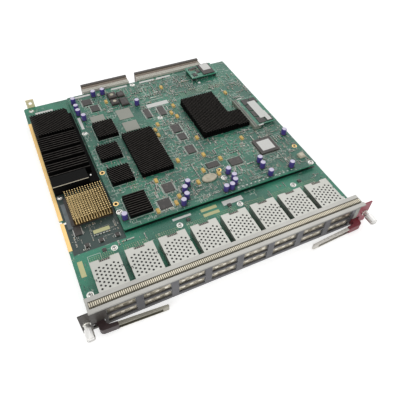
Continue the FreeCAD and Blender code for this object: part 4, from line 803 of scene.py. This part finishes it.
def cage_cover(low, high, first):
    """One upper cage cover: staggered punched holes, plain margins, skirts and notches.

    first is the Y at which the field of holes begins.  Every second column starts half a
    hole later.
    """
    x0, y0 = low[:2]
    x1, y1 = high[:2]
    z0, z1 = high[2] - COVER_SHEET, high[2]
    width, depth = HOLE_PITCH
    thinnest = 0.05
    middle = (x0 + x1) / 2
    field_x = middle - HOLE_COLUMNS * width / 2
    last = y1 - COVER_REAR_MARGIN
    rows = int((last - first - depth / 2) / depth)
    shapes = []
    for i in range(HOLE_COLUMNS):
        left = field_x + i * width
        start = first + (depth / 2 if i % 2 else 0.0)
        end = start + rows * depth
        tail = last if abs(left + width / 2 - middle) < COVER_REAR_NOTCH else y1
        shapes += [pierced_cell(left + width / 2, start + (j + 0.5) * depth, z0, z1) for j in range(rows)]
        shapes.append(slab(left, left + width, y0, start, z0, z1))
        shapes.append(slab(left, left + width, end, tail, z0, z1))
    for outer, inner, inward, notch in ((x0, field_x, 1, SIDE_NOTCHES[0]),
                                        (x1, field_x + HOLE_COLUMNS * width, -1, SIDE_NOTCHES[1])):
        beyond = notch + SIDE_NOTCH_LENGTH
        edge = outer + inward * SIDE_NOTCH_DEPTH
        skirt = outer + inward * COVER_SKIRT
        if abs(edge - inner) > thinnest:
            shapes.append(slab(inner, edge, notch, beyond, z0, z1))
        for start, end in ((y0, notch), (beyond, y1)):
            shapes.append(slab(inner, outer, start, end, z0, z1))
            shapes.append(slab(outer, skirt, start, end, low[2], z0))
    return shapes


def cage_covers():
    """Pierced covers behind the panel's flange, each with a dark sheet under its holes as painted shade."""
    flange = span_of("top_lip")[1][1]
    margin = 1.5
    covers = []
    shade_sheets = []
    for low, high in zip(*solids_of("upper_cage_covers")):
        covers += cage_cover(low, high, flange + COVER_FRONT_MARGIN)
        under = high[2] - COVER_SHEET
        # painted shade: a dark sheet just under the cover's holes
        shade_sheets.append(slab(low[0] + margin, high[0] - margin, flange - 0.4, high[1] - margin,
                          under - 0.5, under - 0.3))
    add_piece("pierced_cage_covers", covers, steel_cage, stands_for=["upper_cage_covers"])
    add_piece("painted_shade_sheets", shade_sheets, dark_plastic_and_shade)


def gasket():
    """Gasket strip: each finger is an arch across the flange, joined by a rail on each side.

    Point (i, j): j runs across the arch, z = rise sin(pi t)^fullness over t from 0 to 1, and
    i is one of the finger's two edges, above and below the sheet.
    """
    low, high = span_of("emi_gasket")
    count = int((high[0] - low[0]) / FINGER_PITCH)
    pitch = (high[0] - low[0]) / count
    t = np.linspace(0, 1, 9)
    y = low[1] + t * (high[1] - low[1])
    fullness, share = 0.45, 0.88
    rise = (high[2] - low[2]) * np.sin(math.pi * t) ** fullness
    top = low[2] + FINGER_SHEET + rise * share
    section = np.concatenate([np.stack([y, top], -1), np.stack([y, top - FINGER_SHEET], -1)[::-1]])
    section = np.concatenate([section, section[:1]])
    shapes = []
    for k in range(count):
        x = low[0] + (k + np.array(FINGER_EDGES)) * pitch
        points = [np.column_stack([np.full(len(section), e), section]) for e in x]
        shapes.append(strip_grid(np.stack(points)))
        for e, order in ((x[0], 1), (x[1], -1)):
            upper = np.stack([np.full(len(t), e), y, top], -1)
            lower = upper - [0, 0, FINGER_SHEET]
            shapes.append(strip_grid(np.stack([upper, lower][::order])))
    front, rear = low[1] + 0.35, high[1] - 0.5
    shapes.append(slab(low[0], high[0], rear, high[1], low[2], low[2] + 0.4))
    shapes.append(slab(low[0], high[0], low[1], front, low[2], low[2] + 0.35))
    add_piece("gasket_fingers", shapes, steel_gasket, stands_for=["emi_gasket"])
    lip_top = span_of("top_lip")[1][2]
    # painted shadow: a dark sheet on the lip that shows between the fingers
    add_piece("gasket_shadow_sheet", slab(low[0], high[0], front, rear, lip_top, lip_top + 0.03), gasket_shadow)


def rear_combs():
    """Contact combs that show in the covers' rear notches: a bar with a row of teeth."""
    bars = []
    teeth = []
    half, count, pitch = 7.0, 6, 2.3
    for low, high in zip(*solids_of("upper_cage_covers")):
        mid = (low[0] + high[0]) / 2
        rear = high[1]
        level = high[2] - 1.6
        bars.append(blocks([mid - half, rear - 3.4, low[2] - 3.0], [mid + half, rear - 0.4, level], SOFT))
        x = mid - 6.2 + np.arange(count) * pitch
        a = at_height(np.stack([x, np.full(count, rear - 3.7)], -1), level)
        teeth.append(blocks(a, a + [1.1, 3.1, 1.0]))
    add_piece("rear_comb_bars", bars, comb_plastic)
    add_piece("rear_comb_teeth", teeth, comb_tin)


cage_covers()
gasket()
rear_combs()


# ------------------------------------------- cans, screws, power parts, modules
def cans():
    """Capacitor cans on square bases: turned side with a rolled shoulder and a slightly sunk lid."""
    lows, highs = solids_of("capacitor_cans")
    middle = ((lows + highs) / 2)[:, :2]
    foot = lows[:, 2]
    height = highs[0, 2] - lows[0, 2]
    radius, half_base, base = 3.9, 4.0, 0.9
    bases = blocks(at_height(middle - half_base, foot), at_height(middle + half_base, foot + base), SOFT)
    add_piece("can_bases", bases, chip_black)
    profile = [(0, 0.8), (radius, 0.8), (radius, 1.9), (radius - 0.35, 2.3), (radius, 2.7),
               (radius, height - 0.9), (radius - 0.25, height - 0.3), (radius - 0.7, height),
               (radius - 1.1, height - 0.15), (0, height - 0.15)]
    add_piece("capacitor_bodies", turned(profile, at_height(middle, foot)), sleeve,
              stands_for=["capacitor_cans"], smooth=True)


def screws():
    """Pan heads with a cross recess painted as two dark bars of shade, and the bright ring that each one
    clamps.
    """
    pan = 1.7
    for node in ("main_screws", "daughter_screws"):
        lows, highs = solids_of(node)
        middle = ((lows + highs) / 2)[:, :2]
        level = highs[:, 2] - pan
        centre = at_height(middle, level)
        ring = turned([(1.4, 0.02), (4.2, 0.02), (4.2, 0.08), (1.4, 0.08)], centre)
        head = turned([(0, 0), (3.0, 0), (3.0, 0.7), (2.6, 1.25), (1.6, 1.6), (0, pan)], centre, sides=18)
        bars = []
        # painted shade: dark bars stand for the cross recess
        for reach in (np.array([1.9, 0.45]), np.array([0.45, 1.9])):
            bars.append(blocks(at_height(middle - reach, level + 1.4),
                               at_height(middle + reach, level + 1.74)))
        add_piece(node + "_heads", head, tin, stands_for=[node], smooth=True)
        add_piece(node + "_rings", ring, tin)
        add_piece(node + "_recess_shade", bars, dark_plastic_and_shade)


def rings_and_pads():
    """Plated rings round the board's open holes, black discs in them as painted shade, a cream connector
    block and a white stud.
    """
    low, high = span_of("daughter_board")
    top = high[2]
    hole, rim = 2.1, 3.7
    places = np.array([(3.6, 106.5), (3.6, 44.4), (155.2, 45.5), (281.8, 44.6)])
    centre = at_height(low[:2] + places, top)
    ring = [(hole, 0.02), (rim, 0.02), (rim, 0.1), (hole, 0.1), (hole, 0.02)]
    shade_disc = [(0, 0.02), (hole, 0.02), (hole, 0.07), (0, 0.07)]
    add_piece("plated_rings", turned(ring, centre, sides=24), gold_plate)
    # painted shade: black discs in the open holes
    add_piece("hole_shade_discs", turned(shade_disc, centre, sides=24), flat_black)
    block = np.array([low[0] + 274.1, low[1] + 17.8, top])
    stepped = [(0, 0), (0, 0.6), (0.8, 0.62), (1.0, 1)]
    add_piece("cream_connector", blocks(block, block + [9, 9, 4], stepped), cream_plastic)
    spot = [low[0] + 220.6, low[1] + 250.7, top]
    stud = [(0, 0), (2.4, 0), (2.4, 1.2), (1.6, 1.8), (0, 1.9)]
    add_piece("white_round_stud", turned(stud, spot), label_white, smooth=True)


def power_parts():
    """Brown converter blocks, two of them with round cores, an oval coil and thermal pads."""
    lows, highs = solids_of("power_blocks")
    middle = (lows + highs) / 2
    thickest_pad = 1.0
    pads = (highs - lows)[:, 2] < thickest_pad
    oval = int(np.argmin(lows[:, 1]))
    brown = ~pads
    brown[oval] = False
    case = [(0, 0), (0, 0.7), (0.7, 0.86), (1.1, 1)]
    add_piece("brown_power_blocks", blocks(lows[brown], highs[brown], case), block_brown,
              stands_for=["power_blocks"])
    inner = blocks(lows[brown] + [2.6, 2.6, 0], highs[brown] - [2.6, 2.6, -0.12], [(0, 0.9), (0.2, 1)])
    add_piece("power_block_lids", inner, chip_black)
    add_piece("thermal_pads", blocks(lows[pads], highs[pads], SOFT), pad_grey)
    cores = middle[brown][np.argsort(lows[brown][:, 0])[:2]]
    cores[:, 2] = highs[brown][:, 2].max()
    core = [(0, -0.4), (3.0, -0.4), (3.0, 0.3), (2.2, 0.7), (0, 0.7)]
    add_piece("round_cores", turned(core, cores), core_cream, smooth=True)
    coil = [(0, 0), (1.0, 0), (1.0, 0.75), (0.9, 0.95), (0.66, 1.0), (0.62, 0.9), (0.5, 0.88), (0.44, 1.0),
            (0, 1.0)]
    verts, quads = turned(coil, [0, 0, 0], sides=28)
    verts = verts * ((highs - lows)[oval] * [0.5, 0.5, 1.0])
    verts += [middle[oval][0], middle[oval][1], lows[oval][2]]
    add_piece("oval_coil", (verts, quads), core_cream, smooth=True)


def memory_card():
    """Memory card lying in its socket: bar, latches, green card, chips and a blank label."""
    low, high = span_of("memory_and_socket")
    x0, y0, z0 = low
    x1, y1 = high[:2]
    card = z0 + 4.4
    top = card + 1.0
    bar_end, arm_end, tab = x0 + 7.2, x0 + 12.5, x1 - 3.4
    bar = [blocks([x0, y0, z0], [bar_end, y1, card + 1.4], [(0, 0), (0, 0.86), (0.5, 1)]),
           blocks([bar_end, y0, z0], [arm_end, y0 + 2.4, card + 1.2], SOFT),
           blocks([bar_end, y1 - 2.4, z0], [arm_end, y1, card + 1.2], SOFT)]
    add_piece("memory_socket_bar", bar, socket_grey, stands_for=["memory_and_socket"])
    tips = [blocks([x0 + 8.5, y, card + 1.2], [x0 + 17.0, y + 1.8, card + 1.9], SOFT)
            for y in (y0, y1 - 1.8)]
    add_piece("memory_latches", tips, label_white)
    # painted shade: a thin dark strip stands for the groove in the bar
    groove_shade = blocks([x0 + 2.6, y0 + 2, card + 1.4], [x0 + 3.8, y1 - 2, card + 1.44])
    add_piece("memory_groove_shade", groove_shade, dark_plastic_and_shade)
    plate = [blocks([xa, ya, card], [xb, yb, top], SOFT)
             for xa, ya, xb, yb in ((bar_end, y0 + 2.6, tab, y1 - 2.6), (tab, y0 + 2.6, x1, y0 + 30.0),
                                    (tab, y0 + 35.0, x1, y1 - 2.6))]
    add_piece("memory_card_plate", plate, memory_green)
    y = y0 + 5.0 + np.arange(4) * 16.4
    near = at_height(np.stack([np.full(4, x0 + 12.4), y], -1), top)
    far = near[[0, 3]] + [13.6, 0, 0]
    chips = [blocks(near, near + [12.0, 14.2, 1.1], SOFT), blocks(far, far + [11.4, 14.2, 1.1], SOFT)]
    add_piece("memory_chips", chips, chip_black)
    z = card + 2.1
    sheet = [blocks([x0 + xa, y0 + ya, z], [x0 + xb, y0 + yb, z + 0.1])
             for xa, ya, xb, yb in ((19.5, 15.0, 33.5, 59.5), (27.5, 6.5, 35.0, 15.0),
                                    (33.5, 15.0, 35.0, 30.0))]
    add_piece("memory_label", sheet, label_white)


def plug_in_board():
    """Small board on two pin headers, with one large chip, its blank label and small parts."""
    lows, highs = solids_of("option_board")
    board = int(np.argmax((highs - lows)[:, 0]))
    low, high = lows[board], highs[board]
    x0, y0 = low[:2]
    x1, y1 = high[:2]
    level = low[2] + 1.6
    lid = high[2] - 0.1
    plate = blocks(low, [x1, y1, level], SOFT)
    add_piece("plug_in_plate", plate, memory_green, stands_for=["option_board"])
    posts = np.delete(np.arange(len(lows)), board)
    feet = blocks(lows[posts], highs[posts], SOFT)
    # painted shade: a dark block fills the space under the board
    under = blocks([x0 + 2, y0 + 1.5, low[2] - 1.6], [x1 - 2, y1 - 1.5, low[2]])
    add_piece("plug_in_headers_and_shade", [feet, under], dark_plastic_and_shade)
    chip = blocks([x0 + 22.5, y0 + 2.0, level], [x0 + 44.0, y1 - 1.0, lid], SOFT)
    add_piece("plug_in_chip", chip, block_brown)
    label = blocks([x0 + 27.0, y0 + 13.0, lid], [x0 + 42.0, y1 - 2.0, lid + 0.1])
    add_piece("plug_in_label", label, label_white)
    # Small chips: corner, width and depth, from the board's corner.
    chips = np.array([(4.0, 24.0, 9.0, 5.0), (4.5, 4.0, 7.0, 6.0), (14.0, 13.0, 6.0, 8.0),
                      (13.0, 25.5, 7.0, 5.0)])
    start = low[:2] + chips[:, :2]
    small = blocks(at_height(start, level), at_height(start + chips[:, 2:], level + 1.1), SOFT)
    add_piece("plug_in_small_chips", small, chip_black)
    row = at_height(np.stack([x0 + 4.0 + np.arange(9) * 2.0, np.full(9, y0 + 11.2)], -1), level)
    both = np.concatenate([row, row + [0.4, 10.4, 0]])
    add_piece("plug_in_small_parts", blocks(both, both + [1.1, 1.9, 0.7]), small_parts)


cans()
screws()
rings_and_pads()
power_parts()
memory_card()
plug_in_board()


# ------------------------------------------------------------------ chip leads
def leads(node, keep, sides, name, pitch=LEAD_PITCH):
    """Gull-wing leads: short flat tongues along two or four edges of each package.

    keep says which packages of the node get them; with two sides they stand on the long ones.
    """
    shapes = []
    for low, high in zip(*solids_of(node)):
        if not keep(low, high):
            continue
        z0, z1 = low[2] + 0.02, low[2] + 0.35
        half = pitch * LEAD_WIDTH / 2
        wide = high[0] - low[0] > high[1] - low[1]
        runs = (0, 1) if sides == 4 else ((0,) if wide else (1,))
        for run in runs:
            length = high[run] - low[run]
            count = max(3, int(length / pitch) - 1)
            mid = low[run] + (np.arange(count) + 0.5) * length / count
            for edge, out in ((low[1 - run], -1), (high[1 - run], 1)):
                a = np.zeros((count, 3))
                b = np.zeros((count, 3))
                a[:, run], b[:, run] = mid - half, mid + half
                a[:, 1 - run], b[:, 1 - run] = sorted((edge, edge + out * LEAD_REACH))
                a[:, 2], b[:, 2] = z0, z1
                shapes.append(blocks(a, b))
    add_piece(name, shapes, tin)


def squarish(low, high):
    """True for a package about as wide as it is deep."""
    size = high - low
    return abs(size[0] - size[1]) < 2.5


def oblong(low, high):
    """True for a package clearly longer one way."""
    return not squarish(low, high)


def short(low, high):
    """True for a package less than 20 mm wide."""
    return high[0] - low[0] < 20


leads("daughter_chips", squarish, 4, "square_chip_leads")
leads("daughter_chips", oblong, 2, "long_chip_leads")
leads("main_chips", short, 2, "front_chip_leads", 1.2)


# -------------------------------------------------------------- scattered parts
def meets(row, boxes, gap):
    """True if a footprint grown by the gap overlaps any box."""
    if not len(boxes):
        return False
    return bool(((row[0] - gap < boxes[:, 2]) & (row[2] + gap > boxes[:, 0])
                 & (row[1] - gap < boxes[:, 3]) & (row[3] + gap > boxes[:, 1])).any())


def free_spots(count, low, high, taken, size):
    """Seeded random footprints for small parts, kept clear of the taken boxes and each other.

    Parts come in rows: a row starts at a random point of the scatter grid and holds one to
    six parts of one direction, each its own size plus one grid step from the one before.
    A part is dropped if its footprint, grown by the gap, meets a taken box or an earlier part.
    """
    spots = np.empty((0, 4))
    while len(spots) < count:
        start = np.round(rng.uniform(low, high) / SCATTER_GRID) * SCATTER_GRID
        half = (size if rng.random() < 0.5 else size[::-1]) / 2
        direction = np.array([1, 0]) if rng.random() < 0.5 else np.array([0, 1])
        step = direction * (2 * half + SCATTER_GRID)
        for k in range(rng.integers(1, 7)):
            middle = start + k * step
            row = np.concatenate([middle - half, middle + half])
            outside = np.any(middle < low) or np.any(middle > high)
            if outside or meets(row, taken, LOOSE_GAP) or meets(row, spots, 0.5):
                continue
            spots = np.vstack([spots, row])
    return spots[:count]


def footprints(names):
    """Footprints of every solid of some nodes."""
    rows = []
    for name in names:
        lows, highs = solids_of(name)
        rows.append(np.hstack([lows[:, :2], highs[:, :2]]))
    return np.concatenate(rows)


def label_footprints(board, rows):
    """Footprints of labels given by middle, width and depth."""
    rows = np.array(rows, dtype=float)
    middle = span_of(board)[0][:2] + rows[:, :2]
    return np.hstack([middle - rows[:, 2:] / 2, middle + rows[:, 2:] / 2])


# Small two-ended parts: name, size and height.
SMALL_PARTS = [("long_parts", (3.4, 1.7), 1.2), ("mid_parts", (2.2, 1.3), 0.9),
               ("fine_parts", (1.5, 0.8), 0.6)]


def scatter(board, taken, fields):
    """Small two-ended parts: a body block and a bright cap block at each end.

    fields is rows of name, strip (low and high corner, from the board's corner) and how
    many parts of each size lie in it.
    """
    board_low, board_high = span_of(board)
    corner = board_low[:2]
    z = board_high[2]
    for prefix, field, counts in fields:
        for count, (label, size, height) in zip(counts, SMALL_PARTS):
            size = np.array(size)
            spots = free_spots(count, corner + field[:2], corner + field[2:], taken, size)
            taken = np.vstack([taken, spots])
            a, b = spots[:, :2], spots[:, 2:]
            long_x = ((b - a)[:, 0] > (b - a)[:, 1])[:, None]
            inset, cap = BODY_START * size.max(), CAP_LENGTH * size.max()
            trim = np.where(long_x, [inset, 0.05], [0.05, inset])
            cut = np.where(long_x, [cap, size.min()], [size.min(), cap])
            body = blocks(at_height(a + trim, z), at_height(b - trim, z + height))
            ends = [blocks(at_height(lo, z), at_height(hi, z + height * CAP_HEIGHT))
                    for lo, hi in ((a, a + cut), (b - cut, b))]
            add_piece(prefix + label + "_bodies", body, small_parts)
            add_piece(prefix + label + "_ends", ends, solder_ends)


ON_DAUGHTER = ["small_heat_sinks", "long_heat_sink", "large_heat_sink", "capacitor_cans",
               "tantalum_capacitors", "daughter_chips", "power_blocks", "daughter_screws",
               "memory_and_socket", "option_board"]
ON_MAIN = ["regulator_heat_sink", "gold_heat_sink", "main_chips", "main_screws", "upper_cage_covers",
           "daughter_board", "left_backplane_connector", "right_backplane_connector", "edge_contact_strips"]
# Blank labels on the boards: middle, width and depth, from the board's corner.
WHITE_ON_DAUGHTER = [(131.6, 223.6, 37, 9.5), (4.4, 224, 4.2, 30), (25, 292.8, 25, 4.4),
                     (88.5, 292.8, 28, 4.4), (138.5, 292.8, 27, 4.4), (169.5, 292.8, 26, 4.4)]
WHITE_ON_MAIN = [(145.8, 87.5, 26, 3.6), (219.7, 86, 30, 8), (29, 380, 28, 5)]
YELLOW_ON_MAIN = [(8, 64, 6, 23), (184.2, 77.6, 23, 5), (184.2, 86.4, 23, 5), (45.5, 110.6, 21, 6)]
LABELS_ON_DAUGHTER = label_footprints("daughter_board", WHITE_ON_DAUGHTER)
LABELS_ON_MAIN = label_footprints("main_board", WHITE_ON_MAIN + YELLOW_ON_MAIN)

scatter("daughter_board", np.vstack([footprints(ON_DAUGHTER), LABELS_ON_DAUGHTER]),
        (("rear_", (44, 232, 208, 289), (66, 210, 280)), ("middle_", (100, 110, 164, 232), (40, 120, 150)),
         ("front_", (48, 5, 287, 112), (120, 390, 470)), ("right_", (222, 150, 287, 256), (22, 74, 100)),
         ("left_", (5, 60, 48, 292), (8, 40, 80))))
scatter("main_board", np.vstack([footprints(ON_MAIN), LABELS_ON_MAIN]),
        (("low_left_", (5, 88, 68, 126), (10, 26, 36)), ("band_", (8, 64, 358, 86), (4, 30, 60))))


# ---------------------------------------------------------------------- labels
def labels():
    """Blank labels: thin plates on the boards, on the largest chip and on the right ear."""
    chips_low, chips_high = solids_of("daughter_chips")
    largest = int(np.argmax((chips_high - chips_low)[:, 0]))
    chip_mid = (chips_low[largest] + chips_high[largest])[:2] / 2
    half = 10.5
    on_chip = np.concatenate([chip_mid - half, chip_mid + half])

    def sheets(areas, z):
        """Thin plates over rows of low and high X and Y."""
        areas = np.atleast_2d(areas)
        return blocks(at_height(areas[:, :2], z + LIFT), at_height(areas[:, 2:], z + LIFT + LABEL_SHEET))

    main_top = span_of("main_board")[1][2]
    whites = len(WHITE_ON_MAIN)
    white = [sheets(LABELS_ON_DAUGHTER, span_of("daughter_board")[1][2]),
             sheets(LABELS_ON_MAIN[:whites], main_top),
             sheets(on_chip, chips_high[largest][2])]
    add_piece("blank_white_labels", white, label_white)
    add_piece("blank_yellow_labels", sheets(LABELS_ON_MAIN[whites:], main_top), label_yellow)
    panel_low, panel_high = span_of("front_panel")
    face = panel_low[1]
    strip_end = panel_high[0] - EAR_WIDTH - 0.4
    strip = slab(strip_end - 6.0, strip_end, face - 0.15, face, -6.0, 14.5)
    add_piece("pale_ear_strip", strip, label_pale)


def board_print():
    """White lines printed on the boards: outlines round the sinks and chips, and rules."""
    low, high = span_of("daughter_board")
    x, y = low[:2]
    top = high[2]
    lines = []

    def rule(x0, y0, x1, y1, z=top):
        """One printed line."""
        lines.append(blocks([x0, y0, z + PRINT_LIFT], [x1, y1, z + 0.05]))

    def outline(x0, y0, x1, y1, wide, z=top):
        """Four lines round a rectangle."""
        rule(x0, y0, x1, y0 + wide, z)
        rule(x0, y1 - wide, x1, y1, z)
        rule(x0, y0, x0 + wide, y1, z)
        rule(x1 - wide, y0, x1, y1, z)

    for node, gap in (("small_heat_sinks", 1.6), ("daughter_chips", 2.2), ("tantalum_capacitors", 0.8)):
        for a, b in zip(*solids_of(node)):
            outline(a[0] - gap, a[1] - gap, b[0] + gap, b[1] + gap, 0.45)
    outline(x + 122.6, y + 254.7, x + 140.6, y + 277.7, 0.6)
    rule(x + 126.0, y + 243.0, x + 143.0, y + 244.4)
    rule(x + 124.0, y + 237.0, x + 148.0, y + 237.8)
    dashes = 16
    dash_x = x + 150.0 + np.arange(dashes) * 6.6
    a = at_height(np.stack([dash_x, np.full(dashes, y + 3.6)], -1), top + PRINT_LIFT)
    lines.append(blocks(a, a + [2.4, 1.4, 0.05]))
    main_low, main_high = span_of("main_board")
    outline(main_low[0] + 18, main_low[1] + 62, main_low[0] + 34, main_low[1] + 78, 0.4, main_high[2])
    add_piece("white_print", lines, print_white)


def pad_fields():
    """Fields of small square pads behind the cages and on the daughter board."""
    main_low, main_high = span_of("main_board")
    low, high = span_of("daughter_board")
    fields = [(main_low[0] + 20.0 + i * CAGE_PITCH, main_low[1] + 66.5, 12, 4, 2.6, main_high[2])
              for i in range(8)]
    fields += [(low[0] + 177.0, low[1] + 226.0, 26, 5, 3.2, high[2]),
               (low[0] + 30.5, low[1] + 55.0, 4, 16, 3.0, high[2])]
    pads = []
    for x0, y0, columns, rows, pitch, z in fields:
        x, y = np.meshgrid(x0 + np.arange(columns) * pitch, y0 + np.arange(rows) * pitch)
        a = at_height(np.stack([x.ravel(), y.ravel()], -1), z + PRINT_LIFT)
        pads.append(blocks(a, a + [1.1, 1.1, 0.06]))
    add_piece("socket_pin_rows", pads, pad_green)


def ledge():
    """Grey ledge on the main board, near its left edge."""
    low, high = span_of("main_board")
    z = high[2]
    shape = blocks([low[0] + 7.5, low[1] + 126, z], [low[0] + 14, low[1] + 170, z + 2.2], SOFT)
    add_piece("grey_ledge", shape, ledge_grey)


labels()
board_print()
pad_fields()
ledge()


# ------------------------------------------------------------ studio and camera
def bare_tree(owner):
    """The emptied node tree of a new material or world."""
    owner.use_nodes = True
    owner.node_tree.nodes.clear()
    return owner.node_tree


def seen_rays(tree):
    """1 for rays from the camera, from a mirror or through glass; 0 for the light itself."""
    path = add_node(tree, "ShaderNodeLightPath")
    share = path.outputs["Is Camera Ray"]
    for kind in ("Is Glossy Ray", "Is Transmission Ray"):
        most = add_node(tree, "ShaderNodeMath", operation="MAXIMUM")
        feed(tree, most.inputs[0], share)
        feed(tree, most.inputs[1], path.outputs[kind])
        share = most.outputs[0]
    return share


def floor():
    """Pale floor just below the part, which glows a little towards the camera."""
    z = cad_box[0][2] - 0.0003
    size = 6.0
    glow_strength = 0.55
    mesh = bpy.data.meshes.new("floor")
    corners = [(-size, -size, z), (size, -size, z), (size, size, z), (-size, size, z)]
    mesh.from_pydata(corners, [], [(0, 1, 2, 3)])
    plane = bpy.data.objects.new("floor", mesh)
    bpy.context.scene.collection.objects.link(plane)
    paint = bpy.data.materials.new("pale_floor")
    tree = bare_tree(paint)
    strength = add_node(tree, "ShaderNodeMath", operation="MULTIPLY")
    feed(tree, strength.inputs[0], seen_rays(tree))
    feed(tree, strength.inputs[1], glow_strength)
    diffuse = add_node(tree, "ShaderNodeBsdfDiffuse", Color=(0.9, 0.9, 0.9, 1))
    glow = add_node(tree, "ShaderNodeEmission", Strength=strength.outputs[0])
    both = add_node(tree, "ShaderNodeAddShader")
    feed(tree, both.inputs[0], diffuse.outputs[0])
    feed(tree, both.inputs[1], glow.outputs[0])
    add_node(tree, "ShaderNodeOutputMaterial", Surface=both.outputs[0])
    mesh.materials.append(paint)


def white_room():
    """World that lights softly and looks white."""
    world = bpy.data.worlds.new("white_room")
    bpy.context.scene.world = world
    tree = bare_tree(world)
    level = add_node(tree, "ShaderNodeMapRange", Value=seen_rays(tree), To_Min=0.45, To_Max=1.0)
    light = add_node(tree, "ShaderNodeBackground", Color=(1, 1, 1, 1), Strength=level.outputs[0])
    add_node(tree, "ShaderNodeOutputWorld", Surface=light.outputs[0])


def lamp(name, place, width, watts):
    """Square soft light at a place, looking at the middle of the card."""
    data = bpy.data.lights.new(name, "AREA")
    data.shape = "SQUARE"
    data.size = width
    data.energy = watts
    obj = bpy.data.objects.new(name, data)
    obj.location = place
    bpy.context.scene.collection.objects.link(obj)
    way = np.array((0, 0.2, 0)) - np.array(place)
    flat = math.hypot(way[0], way[1])
    obj.rotation_euler = (math.atan2(flat, -way[2]), 0, math.atan2(-way[0], way[1]))


def camera():
    """Camera above the front left, turned by a roll, then a tilt, then a swing about Z."""
    elevation, azimuth, roll = math.radians(49.13), math.radians(-26.55), math.radians(1.81)
    tilt = Matrix.Rotation(math.pi / 2 - elevation, 3, "X")
    turn = Matrix.Rotation(azimuth, 3, "Z") @ tilt @ Matrix.Rotation(roll, 3, "Z")
    view = bpy.data.objects.new("camera", bpy.data.cameras.new("camera"))
    view.data.sensor_width = 36.0
    view.data.lens = 37.68
    view.data.clip_start = 0.01
    view.location = (-0.168, -0.2238, 0.4275)
    view.rotation_mode = "XYZ"
    view.rotation_euler = turn.to_euler("XYZ")
    bpy.context.scene.collection.objects.link(view)
    bpy.context.scene.camera = view


bpy.context.scene.view_settings.view_transform = "Standard"
floor()
white_room()
lamp("key_light", (0.75, 0.95, 1.3), 2.0, 8.8)
lamp("fill_light", (-1.1, -0.9, 0.8), 1.2, 9)
camera()
